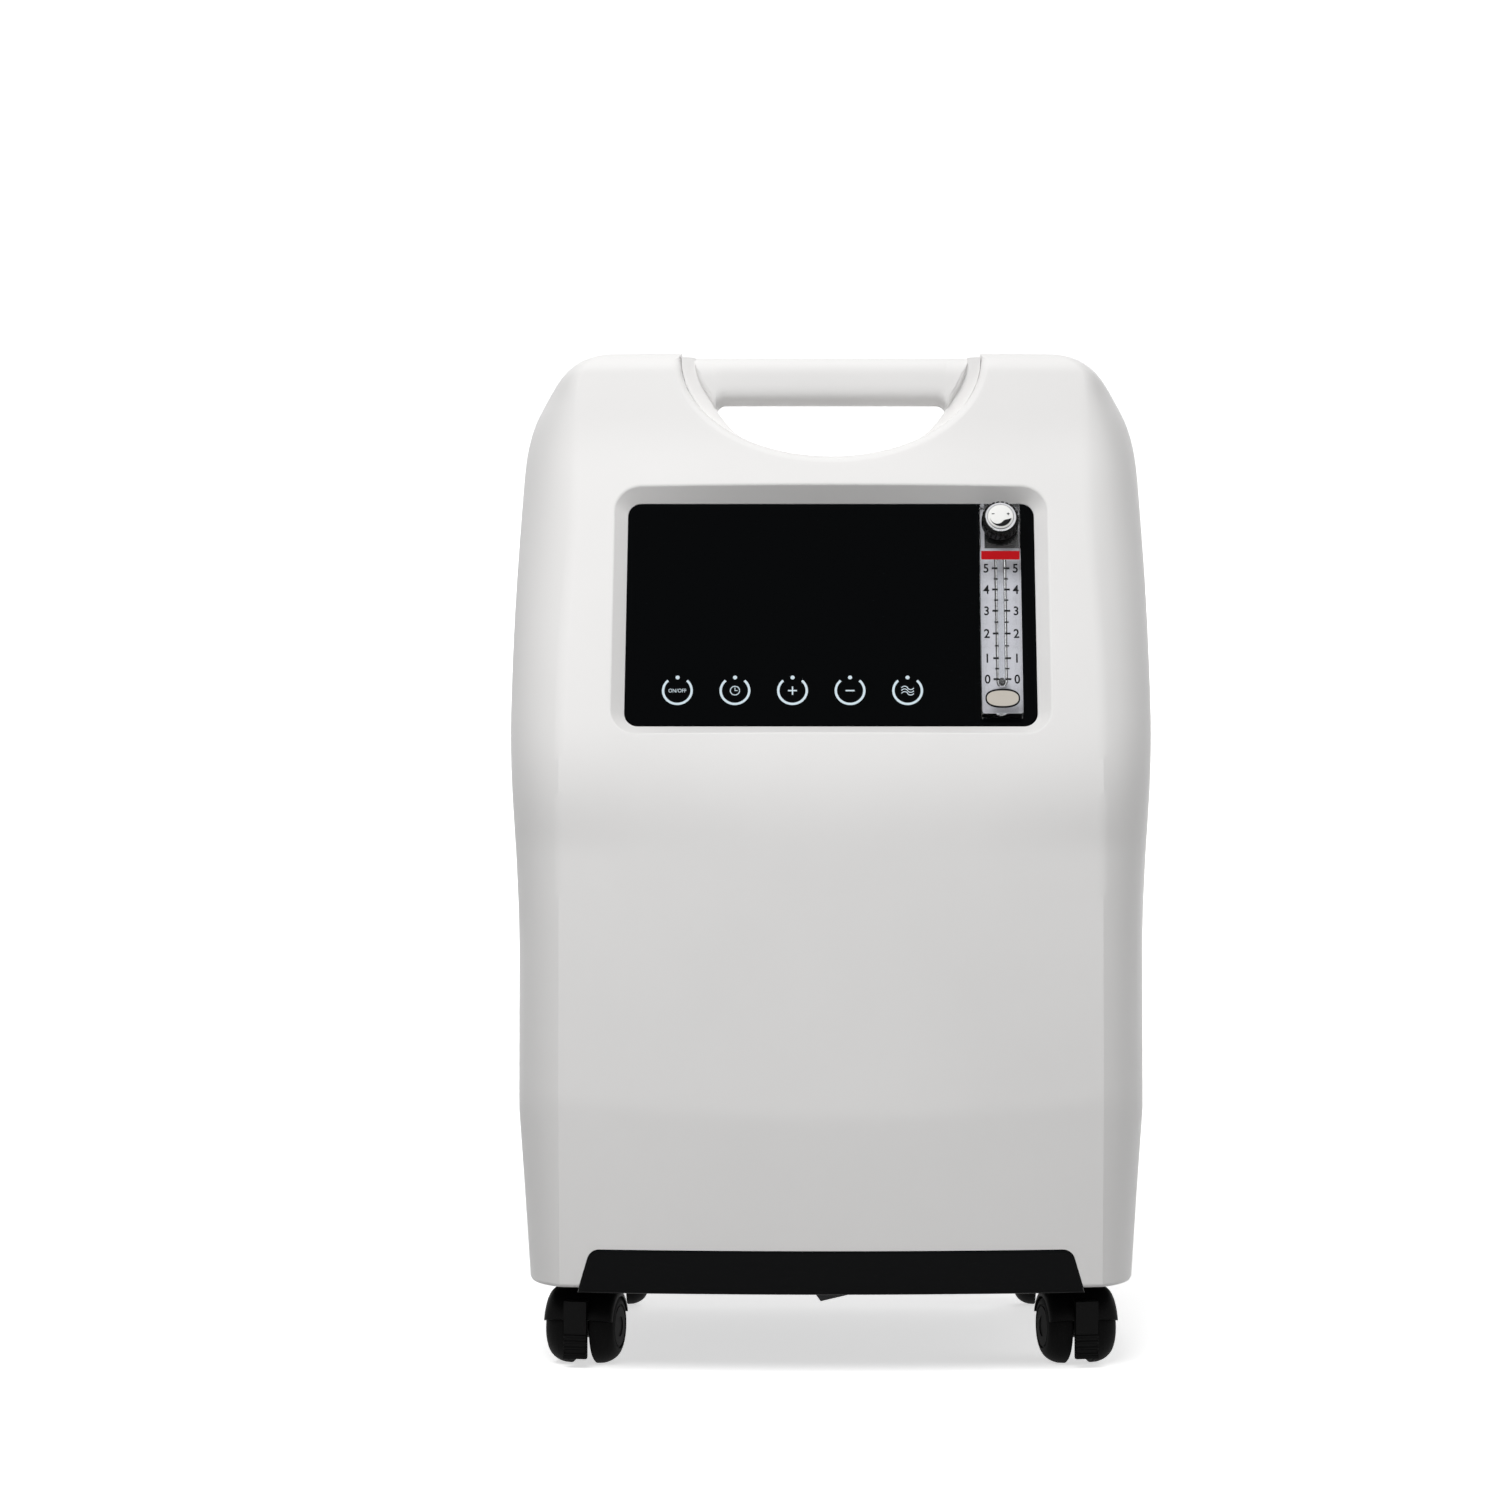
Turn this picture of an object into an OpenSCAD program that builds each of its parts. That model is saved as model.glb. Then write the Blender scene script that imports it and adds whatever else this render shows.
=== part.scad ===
// Floor-standing oxygen concentrator: a two-shell moulded body on a black base with four
// casters, a leaning control panel with a flowmeter, and the pumping parts inside.
// Frame: origin on the floor under the middle, +Z up, the control panel faces -Y.

/* [Body] */
// Overall height, floor to shoulders
body_h = 600; // [590:1:620]
// Overall width at the widest point
body_w = 380; // [372:1:390]
// Overall depth, front to back
body_d = 370; // [364:1:384]
// Height of the covers' lower edge above the floor
ground_gap = 51; // [50:1:54]
// Wall thickness of the moulded covers
wall = 3; // [2.5:0.1:3.5]
// Place of the seam between the front and rear covers, behind the middle
seam_y = 15; // [10:1:20]
// Height of the crease across the lower front
crease_z = 150; // [130:1:170]
// Height at which the front starts to bend back
bend_z = 310; // [300:1:315]
// Bend radius of the front
bend_r = 200; // [190:1:210]
// Lean of the panel zone, degrees from upright
panel_lean = 19.5; // [18:0.1:21]
// Lean of the lower front, degrees from upright
front_lean = 1.5; // [1:0.1:2]
// Radius of the front face in plan
front_r = 1100; // [950:10:1300]
// Half width at the crease between front face and flank
crease_x = 160; // [155:1:165]
// Radius of the flanks
flank_r = 60; // [50:1:70]
// Radius of the upright rear corners
rear_corner_r = 35; // [25:1:45]
// Radius of the top rear edge
top_rear_r = 30; // [20:1:40]

/* [Scoop and handle] */
// Half width of the scoop
scoop_a = 91; // [86:1:96]
// Depth of the scoop below its centre line
scoop_b = 60; // [56:1:64]
// Height of the handle bar
grip_h = 28; // [24:1:30]
// Front-to-back size of the handle bar
grip_d = 30; // [26:1:34]
// Diameter of the handle's end lugs
lug_d = 12; // [10:1:14]

/* [Humidifier] */
// Width of the niche for the humidifier
niche_w = 128; // [120:1:134]
// Depth of the niche floor below the body's top
niche_drop = 234; // [230:1:240]
// Outer diameter of the jar
jar_d = 84; // [78:1:88]
// Height of the jar below its lid
jar_h = 112; // [100:1:116]
// Wall of the jar
jar_wall = 2.4; // [2:0.1:3]

/* [Panel] */
// Panel width
panel_w = 240; // [236:1:246]
// Panel height along its slope
panel_h = 141; // [136:1:144]
// Panel thickness
panel_t = 4; // [3:0.5:5]
// Depth of the panel face below the front surface
panel_sink = 11; // [10:0.5:13]
// Width of the bevelled frame round the panel
bevel_w = 8; // [6:0.5:9]
// Flowmeter block width
meter_w = 23.8; // [22:0.2:26]
// Flowmeter block height
meter_h = 132.7; // [126:0.1:134]
// How far the flowmeter block stands out of the panel
meter_out = 8; // [6:0.5:10]
// Flow control knob diameter
knob_d = 22; // [20:0.5:22.5]
// Float ball diameter
ball_d = 6; // [5:0.2:6.4]
// Running clearance round the float ball
ball_gap = 0.5; // [0.4:0.05:0.6]
// Travel of the float ball
ball_travel = 70; // [60:1:74]

/* [Base and casters] */
// Thickness of the base plate
base_t = 4; // [3:0.5:5]
// Thickness of the apron
apron_t = 7; // [6:0.5:9]
// Height of the apron on the base's front
apron_h = 25; // [22:1:28]
// How far the apron hangs below the covers
apron_drop = 3; // [2:0.5:4]
// Half width of the apron at its top
apron_top_x = 134; // [130:1:138]
// Half width of the apron at its bottom
apron_low_x = 144; // [140:1:147]
// Caster stems' distance in from the body's sides
caster_in_x = 48; // [46:1:52]
// Front caster stem, in from the front face
caster_in_front = 80; // [75:1:85]
// Rear caster stem, in from the back face
caster_in_rear = 55; // [51:1:61]
// Caster wheel diameter
wheel_d = 44; // [42:0.5:45]
// Width over a caster's two wheels
twin_w = 41.5; // [38:0.5:43]
// Gap between a caster's two wheels
twin_gap = 15; // [14:0.5:16]
// Offset of the axle from the stem
trail = 12; // [10:0.5:14]
// Stem diameter
stem_d = 11; // [10:0.5:12]
// Toe-out of the front casters, degrees
toe_out = 12; // [0:1:30]
// Radial running clearance of stems, axles and rotors
run = 0.08; // [0.05:0.01:0.1]

/* [Fits] */
// Clearance between fixed pieces that sit in each other
seat = 0.15; // [0.1:0.05:0.2]
// Clearance between moving pieces
free = 0.5; // [0.4:0.1:0.7]

/* [Hidden] */
$fn = 64;
eps = 0.01;
front_y = -body_d / 2;
back_y = body_d / 2;
low_z = ground_gap;
caster_x = body_w / 2 - caster_in_x;
function caster_y(end) = end < 0 ? front_y + caster_in_front : back_y - caster_in_rear;

// Where the front bends back: start point, arc centre and the point where the slope begins.
bend_y = front_y + (bend_z - crease_z) * tan(front_lean);
arc_y = bend_y + bend_r * cos(front_lean);
arc_z = bend_z - bend_r * sin(front_lean);
slope_y = arc_y - bend_r * cos(panel_lean);
slope_z = arc_z + bend_r * sin(panel_lean);
brow_z = body_h - 52;
brow_y = slope_y + (brow_z - slope_z) * tan(panel_lean);
brow_lean = 10;
under_lean = -3.2;
function front_at(z) = z < brow_z
    ? slope_y + (z - slope_z) * tan(panel_lean)
    : brow_y + (z - brow_z) * tan(brow_lean);

// Flank arc: it starts at the crease and ends tangent to the straight side.
section_hw = body_w / 2 + 1;
crease_n = front_r - sqrt(front_r ^ 2 - crease_x ^ 2);
flank_dx = section_hw - crease_x;
flank_n = crease_n + sqrt(2 * flank_r * flank_dx - flank_dx ^ 2);
skin_depth = 240;
face_hw = crease_x - 1;
block_y = -80;

// Half width of the body at a height: narrow at the foot, widest at two thirds, round on top.
wide_z = 0.65 * body_h;
function ease(u) = let(c = min(max(u, 0), 1)) c * c * (3 - 2 * c);
function half_width(z) = z < wide_z
    ? body_w / 2 - 6 + 6 * ease((z - wide_z + 150) / 150) + min(0, z - crease_z) * 0.07
    : body_w / 2 - 6.5 * ((z - wide_z) / 130) ^ 2
        - 28 * max(0, (z - body_h + 79) / 77) ^ 2.6;

// Horizontal section of the front skin: x across, y inwards, shrunk by t.
module front_section(t, wider = 0) {
    intersection() {
        translate([0, front_r]) circle(r = front_r - t, $fn = 180);
        union() {
            translate([-face_hw - wider + t / 2, -5])
                square([2 * (face_hw + wider) - t, skin_depth + 5]);
            translate([-section_hw - wider + t, flank_n])
                square([2 * (section_hw + wider - t), skin_depth - flank_n]);
            for (side = [-1, 1])
                translate([side * (section_hw + wider - flank_r), flank_n])
                    circle(r = flank_r - t);
        }
    }
}

// Slab of the front skin that leans back, from the front point (y, z).
module lean_slab(t, y, z, lean, up, down) {
    translate([0, y, z])
        rotate([-lean, 0, 0])
            translate([0, 0, -down])
                linear_extrude(up + down) front_section(t);
}

// Air in front of the skin's section, as a flat shape for cutters. Its creases stand a
// little wider than the skin's own, so that no two creases cross in one point.
module front_air(t) {
    difference() {
        translate([-body_w, -40]) square([2 * body_w, 100]);
        front_section(t, crease_step);
    }
}

// Front skin: the lower front and the panel slope cut each other, one round cutter softens
// the bend between them, a tilted one draws in the foot, and the brow stands on the slope.
bend_proud = 0.4;
crease_step = 0.6;
module front_skin(t) {
    difference() {
        intersection() {
            lean_slab(t, front_y, crease_z, front_lean, body_h, crease_z);
            lean_slab(t, slope_y, slope_z, panel_lean, body_h, slope_z);
        }
        translate([0, arc_y, arc_z])
            multmatrix([[0, 0, -1, 0], [-1, 0, 0, 0], [0, 1, 0, 0], [0, 0, 0, 1]])
                rotate([0, 0, front_lean - 6])
                    rotate_extrude(angle = panel_lean - front_lean + 12, $fn = 96)
                        translate([bend_r + bend_proud, 0]) rotate(90) front_air(t);
        translate([0, front_y, crease_z])
            rotate([-under_lean, 0, 0])
                translate([0, 0, -crease_z - 20])
                    linear_extrude(crease_z + 40) front_air(t);
    }
    lean_slab(t, brow_y, brow_z, brow_lean, 80, 30);
}

// Extrusion across the body of a side view drawn in (y, z).
module across(w) {
    rotate([90, 0, 90]) translate([0, 0, -w / 2]) linear_extrude(w) children();
}

// Extrusion along the body of a front view drawn in (x, z), between two y places.
module along(y0, y1) {
    translate([0, y1, 0]) rotate([90, 0, 0]) linear_extrude(y1 - y0) children();
}

// Outer form of the two covers together, shrunk by t.
module body_form(t) {
    intersection() {
        along(front_y - 1, back_y + 1)
            polygon(concat(
                [for (i = [0:30]) let(z = low_z - 20 + (body_h - low_z + 20) * i / 30)
                    [half_width(z) - t, z - (i == 30 ? t : 0)]],
                [for (i = [30:-1:0]) let(z = low_z - 20 + (body_h - low_z + 20) * i / 30)
                    [-half_width(z) + t, z - (i == 30 ? t : 0)]]));
        union() {
            front_skin(t);
            translate([-section_hw + t, block_y, low_z - 20])
                cube([2 * (section_hw - t), back_y - block_y - t, body_h]);
        }
        across(body_w) union() {
            translate([front_y, low_z - 20])
                square([body_d - top_rear_r, body_h - low_z + 20 - t]);
            translate([0, low_z - 20]) square([back_y - t, body_h - low_z + 20 - top_rear_r]);
            translate([back_y - top_rear_r, body_h - top_rear_r]) circle(r = top_rear_r - t);
        }
        translate([0, 0, low_z - 20]) linear_extrude(body_h) union() {
            translate([-section_hw, front_y - 1]) square([2 * section_hw, body_d - rear_corner_r + 1]);
            translate([-section_hw + rear_corner_r, 0])
                square([2 * (section_hw - rear_corner_r), back_y]);
            for (side = [-1, 1])
                translate([side * (section_hw - rear_corner_r), back_y - rear_corner_r])
                    circle(r = rear_corner_r - t);
        }
    }
}

// Scoop: a half-elliptic valley through the top, from front to back, grown by g.
scoop_z = body_h - 5;
scoop_steps = 32;
scoop_step = 180 / scoop_steps;
module scoop(g) {
    along(front_y - 20, back_y + 20)
        polygon(concat(
            [for (i = [0:scoop_steps]) let(a = 180 + scoop_step * i)
                [(scoop_a + g) * cos(a), scoop_z + (scoop_b + g) * sin(a)]],
            [[scoop_a + g, body_h + 20], [-scoop_a - g, body_h + 20]]));
}

// Niche for the humidifier, open at the top and at the back, grown by g.
niche_z = body_h - niche_drop;
niche_margin = 6;
niche_y = back_y - jar_d - 2 * niche_margin;
niche_r = 14;
jar_y = back_y - niche_margin - jar_d / 2;
module niche(g) {
    translate([0, 0, niche_z - g])
        linear_extrude(scoop_z - niche_z) union() {
            translate([-niche_w / 2 - g, niche_y + niche_r])
                square([niche_w + 2 * g, body_d / 2]);
            translate([-niche_w / 2 + niche_r, niche_y - g])
                square([niche_w - 2 * niche_r, body_d / 2]);
            for (side = [-1, 1])
                translate([side * (niche_w / 2 - niche_r), niche_y + niche_r])
                    circle(r = niche_r + g);
        }
}

// Rounded rectangle about the origin.
module soft_rect(w, h, r) {
    union() {
        square([w - 2 * r, h], center = true);
        square([w, h - 2 * r], center = true);
        for (sx = [-1, 1], sy = [-1, 1])
            translate([sx * (w / 2 - r), sy * (h / 2 - r)]) circle(r = r);
    }
}

// Panel frame: origin on the front surface, x across, y up the slope, z outwards.
panel_z = body_h - 155;
panel_r = 8;
module on_panel() {
    translate([0, front_at(panel_z), panel_z])
        rotate([90 - panel_lean, 0, 0]) children();
}
face_z = -panel_sink;
rear_z = face_z - panel_t;
ledge = 6;

// Bevelled recess that leads down to the panel, its seat and the window behind it.
module panel_recess() {
    bevel_out = bevel_w * (panel_sink + 2) / panel_sink;
    on_panel() {
        hull() {
            translate([0, 0, face_z])
                linear_extrude(eps) soft_rect(panel_w + 2 * seat, panel_h + 2 * seat, panel_r);
            translate([0, 0, 2])
                linear_extrude(eps) soft_rect(panel_w + 2 * bevel_out, panel_h + 2 * bevel_out,
                                              panel_r + bevel_out);
        }
        translate([0, 0, rear_z])
            linear_extrude(panel_t + 2 * eps)
                soft_rect(panel_w + 2 * seat, panel_h + 2 * seat, panel_r + seat);
        translate([0, 0, rear_z - 2 * wall])
            linear_extrude(3 * wall) soft_rect(panel_w - 2 * ledge, panel_h - 2 * ledge, 3);
        translate([meter_x - meter_w / 2 - seat, meter_y - meter_h / 2 - seat, rear_z - 2 * wall])
            cube([meter_w + 2 * seat, meter_h + 2 * seat, 3 * wall]);
    }
}

// Tray of material that carries the panel inside the cover.
module panel_tray() {
    tray = bevel_w + wall;
    on_panel()
        translate([0, 0, rear_z - wall])
            linear_extrude(panel_sink + panel_t + wall + 20)
                soft_rect(panel_w + 2 * tray, panel_h + 2 * tray, panel_r + tray);
}

// Front view of the apron, grown by g: a trapezoid with round upper corners.
apron_z = ground_gap - apron_drop;
module apron_outline(g) {
    corner = 7;
    hull() {
        for (side = [-1, 1])
            translate([side * (apron_top_x - corner), apron_z + apron_h - corner])
                circle(r = corner + g, $fn = 32);
        translate([-apron_low_x - g, apron_z - g]) square([2 * (apron_low_x + g), 1]);
    }
}

// Round cup in the back for a gas outlet, grown by g.
cup_d = 40;
cup_depth = 18;
outlet_x = 115;
outlet_z = body_h - 95;
module outlet_cup(side, g) {
    translate([side * outlet_x, back_y - cup_depth - g, outlet_z])
        rotate([-90, 0, 0]) cylinder(d = cup_d + 2 * g, h = cup_depth + g + 10);
}

// Intake filter pocket in the back, grown by g.
filter_w = 66;
filter_h = 78;
filter_x = -115;
filter_z = body_h - 175;
door_t = 4;
foam_t = 10;
module filter_pocket(g) {
    translate([filter_x, back_y - door_t - foam_t - g, filter_z])
        rotate([-90, 0, 0])
            linear_extrude(door_t + foam_t + g + 10) soft_rect(filter_w + 2 * g, filter_h + 2 * g, 5 + g);
}

// Inside of the two covers together.
module cavity() {
    difference() {
        body_form(wall);
        scoop(wall);
        niche(wall);
        panel_tray();
        outlet_cup(-1, wall);
        outlet_cup(1, wall);
        filter_pocket(wall);
    }
}

// Everything between two y places and above the covers' lower edge.
module band(y0, y1) {
    translate([-body_w, y0, low_z]) cube([2 * body_w, y1 - y0, body_h]);
}

lug_z = scoop_z - grip_h / 2 + 2;
grip_top = body_h - 3;
grip_y = front_at(grip_top - grip_h / 2) + 4;
module grip_lugs(g) {
    for (side = [-1, 1])
        translate([side * (scoop_a - 6), grip_y + grip_d / 2, lug_z])
            rotate([0, side * 90, 0]) cylinder(d = lug_d + 2 * g, h = 16);
}

module front_cover() {
    color("whitesmoke")
    difference() {
        intersection() {
            difference() {
                body_form(0);
                cavity();
            }
            band(front_y - 10, seam_y);
        }
        scoop(0);
        panel_recess();
        along(front_y - 10, front_y + 60) apron_outline(seat);
        grip_lugs(seat);
    }
}

fan_z = 140;
fan_w = 120;
fan_t = 25;
fan_bore = 112;
inlet_x = 128;
inlet_z = 96;
inlet_w = 48;
inlet_h = 28;
switch_z = 150;
switch_w = 22;
switch_h = 31;
breaker_z = 198;
breaker_d = 16;

// Screws through the rear cover into the rim of the base, grown by g.
screw_x = 60;
screw_z = low_z + 9;
module screw_shapes(g) {
    for (side = [-1, 1])
        translate([side * screw_x, back_y + g, screw_z]) rotate([90, 0, 0]) {
            cylinder(d = 7 + 2 * g, h = 1.6 + g);
            cylinder(d = 3.5 + 2 * g, h = 7 + g);
        }
}

// Vent slots at the foot of the rear cover, beside the fan.
module vent_slots() {
    for (row = [0:6])
        translate([-150, back_y - 10, 90 + 12 * row]) cube([60, 20, 4]);
}

module rear_cover() {
    color("whitesmoke")
    difference() {
        intersection() {
            difference() {
                body_form(0);
                cavity();
            }
            band(seam_y, back_y + 10);
        }
        scoop(0);
        niche(0);
        outlet_cup(-1, 0);
        outlet_cup(1, 0);
        filter_pocket(0);
        vent_slots();
        screw_shapes(run);
        translate([0, back_y + 5, fan_z]) rotate([90, 0, 0]) cylinder(d = fan_bore, h = 20);
        translate([inlet_x - inlet_w / 2, back_y - 10, inlet_z - inlet_h / 2])
            cube([inlet_w, 20, inlet_h]);
        translate([inlet_x - switch_w / 2, back_y - 10, switch_z - switch_h / 2])
            cube([switch_w, 20, switch_h]);
        translate([inlet_x, back_y + 5, breaker_z]) rotate([90, 0, 0]) cylinder(d = breaker_d, h = 20);
        for (side = [-1, 1])
            translate([side * outlet_x, back_y, outlet_z])
                rotate([90, 0, 0]) cylinder(d = 12, h = cup_depth + 2 * wall);
        for (i = [-2:2])
            translate([filter_x - 2 + 12 * i, back_y - 40, filter_z - 30]) cube([4, 40, 60]);
    }
}

// Handle bar across the scoop: its ends flare down into the scoop walls, round lugs hold it.
module carry_handle() {
    flare = 17;
    soft = 11;
    color("whitesmoke")
    union() {
        intersection() {
            along(grip_y, grip_y + grip_d) intersection() {
                polygon(concat(
                    [for (i = [0:scoop_steps]) let(a = 180 + scoop_step * i)
                        [(scoop_a - seat) * cos(a), scoop_z + (scoop_b - seat) * sin(a)]],
                    [[scoop_a - seat, grip_top], [-scoop_a + seat, grip_top]]));
                difference() {
                    translate([-scoop_a, grip_top - grip_h - flare])
                        square([2 * scoop_a, grip_h + flare]);
                    hull() for (side = [-1, 1])
                        translate([side * (scoop_a - flare - 14), grip_top - grip_h - flare])
                            circle(r = flare);
                }
            }
            translate([0, grip_y + grip_d / 2, grip_top - (grip_h + flare) / 2])
                rotate([90, 0, 90]) translate([0, 0, -scoop_a])
                    linear_extrude(2 * scoop_a) soft_rect(grip_d, grip_h + flare, soft);
        }
        grip_lugs(0);
    }
}

// Bare dark plate that lines the scoop floor behind the handle.
module scoop_plate() {
    plate_t = 0.8;
    glue = 0.05;
    plate_d = 42;
    reach = 7;
    color("#26282a")
    translate([0, grip_y + grip_d + 8, 0]) rotate([90, 0, 0]) translate([0, 0, -plate_d])
        linear_extrude(plate_d)
            polygon(concat(
                [for (i = [-reach:reach]) let(a = 270 + scoop_step * i)
                    [(scoop_a - glue) * cos(a), scoop_z + (scoop_b - glue) * sin(a)]],
                [for (i = [reach:-1:-reach]) let(a = 270 + scoop_step * i)
                    [(scoop_a - plate_t) * cos(a), scoop_z + (scoop_b - plate_t) * sin(a)]]));
}

// Flowmeter places in the panel frame.
meter_x = panel_w / 2 - 20.5;
meter_top = panel_h / 2 - 3.2;
meter_y = meter_top - meter_h / 2;
meter_back = rear_z - 10;
meter_front = face_z + meter_out;
ball_y = meter_top - 111.6;
tube_z = meter_front - 7;
knob_y = panel_h / 2 - 16.3;
stem_r = 2.5;
knob_z = meter_front + free;
knob_h = 8;

module display_panel() {
    color("#0b0c0e")
    on_panel()
        difference() {
            translate([0, 0, rear_z]) linear_extrude(panel_t) soft_rect(panel_w, panel_h, panel_r);
            translate([meter_x - meter_w / 2 - seat, meter_y - meter_h / 2 - seat, rear_z - 1])
                cube([meter_w + 2 * seat, meter_h + 2 * seat, panel_t + 2]);
        }
}

// Touch board behind the panel, with a sensor spring under each of the five keys.
key_pitch = 33.5;
key_x = -89.4;
key_y = -panel_h / 2 + 22.2;
module touch_board() {
    board_w = 174;
    board_t = 1.6;
    pad_h = 4;
    color("darkgreen")
    on_panel() {
        translate([-panel_w / 2 + ledge + 4, -panel_h / 2 + ledge + 4, rear_z - pad_h - board_t])
            cube([board_w, 40, board_t]);
        for (i = [0:4])
            translate([key_x + key_pitch * i, key_y, rear_z - pad_h]) cylinder(d = 12, h = pad_h);
    }
}

module flowmeter_block() {
    color("#dfe3e6")
    on_panel()
        difference() {
            translate([meter_x, meter_y, meter_back])
                linear_extrude(meter_front - meter_back) soft_rect(meter_w, meter_h, 2);
            translate([meter_x, ball_y - ball_d / 2 - ball_gap, tube_z])
                rotate([-90, 0, 0])
                    cylinder(r = ball_d / 2 + ball_gap, h = ball_travel + ball_d + 2 * ball_gap + 3);
            translate([meter_x, knob_y, meter_front - 12]) cylinder(r = stem_r + run, h = 20);
        }
}

module float_ball() {
    color("#18191b")
    on_panel() translate([meter_x, ball_y, tube_z]) sphere(d = ball_d);
}

module valve_stem() {
    color("silver")
    on_panel() translate([meter_x, knob_y, meter_front - 11]) cylinder(r = stem_r, h = 11 + knob_h - 1);
}

module flow_knob() {
    flutes = 24;
    color("#141517")
    on_panel()
        difference() {
            translate([meter_x, knob_y, knob_z]) cylinder(d = knob_d, h = knob_h);
            translate([meter_x, knob_y, knob_z - 1]) cylinder(r = stem_r, h = knob_h);
            for (i = [0:flutes - 1])
                translate([meter_x, knob_y, knob_z + 2])
                    rotate([0, 0, 360 / flutes * i])
                        translate([knob_d / 2 + 0.4, 0, 0]) cylinder(r = 0.9, h = knob_h, $fn = 16);
        }
}

module knob_cap() {
    cap_d = knob_d - 3.7;
    color("whitesmoke")
    on_panel() translate([meter_x, knob_y, knob_z + knob_h]) {
        cylinder(d = cap_d, h = 1.6);
        cylinder(d = cap_d - 2.4, h = 2.6);
    }
}

// Two threaded elbows on the flowmeter's back.
module meter_fittings() {
    color("goldenrod")
    on_panel() for (y = [meter_y - meter_h / 2 + 14, meter_top - 34])
        translate([meter_x, y, meter_back]) {
            translate([0, 0, -10]) cylinder(d = 13, h = 10, $fn = 6);
            translate([0, 0, -16]) cylinder(d = 8, h = 6);
            translate([0, 0, -16]) rotate([0, -90, 0]) cylinder(d = 7, h = 16);
            translate([0, 0, -16]) sphere(d = 8);
        }
}

// Base: a plate inside the covers with a rim, caster sockets and feet for the bulkhead.
deck = ground_gap + base_t;
rim_h = 12;
socket_h = 26;
socket_d = stem_d + 11;
casters = [["fl", -1, -1], ["fr", 1, -1], ["rl", -1, 1], ["rr", 1, 1]];
module base_tray() {
    color("#17181a")
    difference() {
        union() {
            difference() {
                intersection() {
                    body_form(wall + seat);
                    translate([-body_w, front_y - 1, low_z])
                        cube([2 * body_w, body_d + 2, base_t + rim_h]);
                }
                intersection() {
                    body_form(2 * wall + seat);
                    translate([-body_w, front_y - 1, deck]) cube([2 * body_w, body_d + 2, body_h]);
                }
            }
            for (c = casters)
                translate([c[1] * caster_x, caster_y(c[2]), low_z])
                    cylinder(d = socket_d, h = base_t + socket_h);
        }
        for (c = casters)
            translate([c[1] * caster_x, caster_y(c[2]), low_z - 1])
                cylinder(r = stem_d / 2 + run, h = base_t + socket_h + 2);
        screw_shapes(run);
        intersection() {
            along(front_y - 10, front_y + 40) apron_outline(seat);
            difference() {
                body_form(-1);
                translate([0, apron_t + 2 * seat, 0]) body_form(0);
            }
        }
        for (row = [0:5])
            translate([-30 + 12 * row, 20, low_z - 1]) cube([5, 70, base_t + 2]);
    }
}

module base_apron() {
    proud = 1;
    color("#0d0e10")
    intersection() {
        along(front_y - 10, front_y + 36) apron_outline(0);
        difference() {
            body_form(-proud);
            translate([0, apron_t, 0]) body_form(0);
        }
    }
}

// Small slanted block under the front of the base, an air deflector.
module base_block() {
    color("#0d0e10")
    translate([-2, 0, 0])
        intersection() {
            translate([-12, -146, low_z - 12]) cube([24, 26, 12]);
            rotate([90, 0, 0]) translate([0, 0, 118]) linear_extrude(30)
                polygon([[-12, low_z], [12, low_z], [13, low_z - 7], [-4, low_z - 11]]);
        }
}

// Twin-wheel casters, drawn with the stem on the Z axis and the axle in front of it.
axle_z = wheel_d / 2;
axle_d = 6;
web_t = 6;
module caster_place(id) {
    c = casters[search([id], casters)[0]];
    turn = c[2] < 0 ? c[1] * toe_out : 180;
    translate([c[1] * caster_x, caster_y(c[2]), 0]) rotate([0, 0, turn]) children();
}

pedal_pin_y = -trail - 17;
pedal_pin_z = axle_z + 14;
pedal_pin_r = 1.5;
module caster_fork(id) {
    guard_r = wheel_d / 2 + 1.5;
    color("#101113")
    caster_place(id) {
        translate([0, 0, low_z - 2]) cylinder(d = stem_d, h = base_t + socket_h - 1);
        translate([0, 0, axle_z + 12]) cylinder(d = stem_d + 3, h = low_z - 1 - axle_z - 12);
        difference() {
            union() {
                intersection() {
                    translate([-twin_gap / 2 + 0.6, -trail, axle_z]) rotate([0, 90, 0])
                        cylinder(r = wheel_d / 2 - 3, h = twin_gap - 1.2);
                    translate([-web_t / 2, -trail - 8, 4]) cube([web_t, 60, wheel_d]);
                }
                intersection() {
                    translate([-twin_w / 2 + 3, -trail, axle_z]) rotate([0, 90, 0])
                        cylinder(r = guard_r + 2, h = twin_w - 6);
                    translate([-twin_w / 2, -trail - 14, axle_z + 9]) cube([twin_w, 60, 16]);
                }
                translate([-web_t / 2, pedal_pin_y - 3.5, pedal_pin_z - 4]) cube([web_t, 16, 7.5]);
            }
            translate([-web_t, pedal_pin_y, pedal_pin_z]) rotate([0, 90, 0])
                cylinder(r = pedal_pin_r + run, h = 2 * web_t);
            translate([-twin_w / 2, -trail, axle_z]) rotate([0, 90, 0])
                difference() {
                    cylinder(r = guard_r, h = twin_w);
                    translate([0, 0, (twin_w - web_t) / 2]) cylinder(r = guard_r + 1, h = web_t);
                }
            translate([-twin_w / 2, -trail, axle_z]) rotate([0, 90, 0])
                cylinder(r = axle_d / 2 + run, h = twin_w);
        }
    }
}

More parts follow.
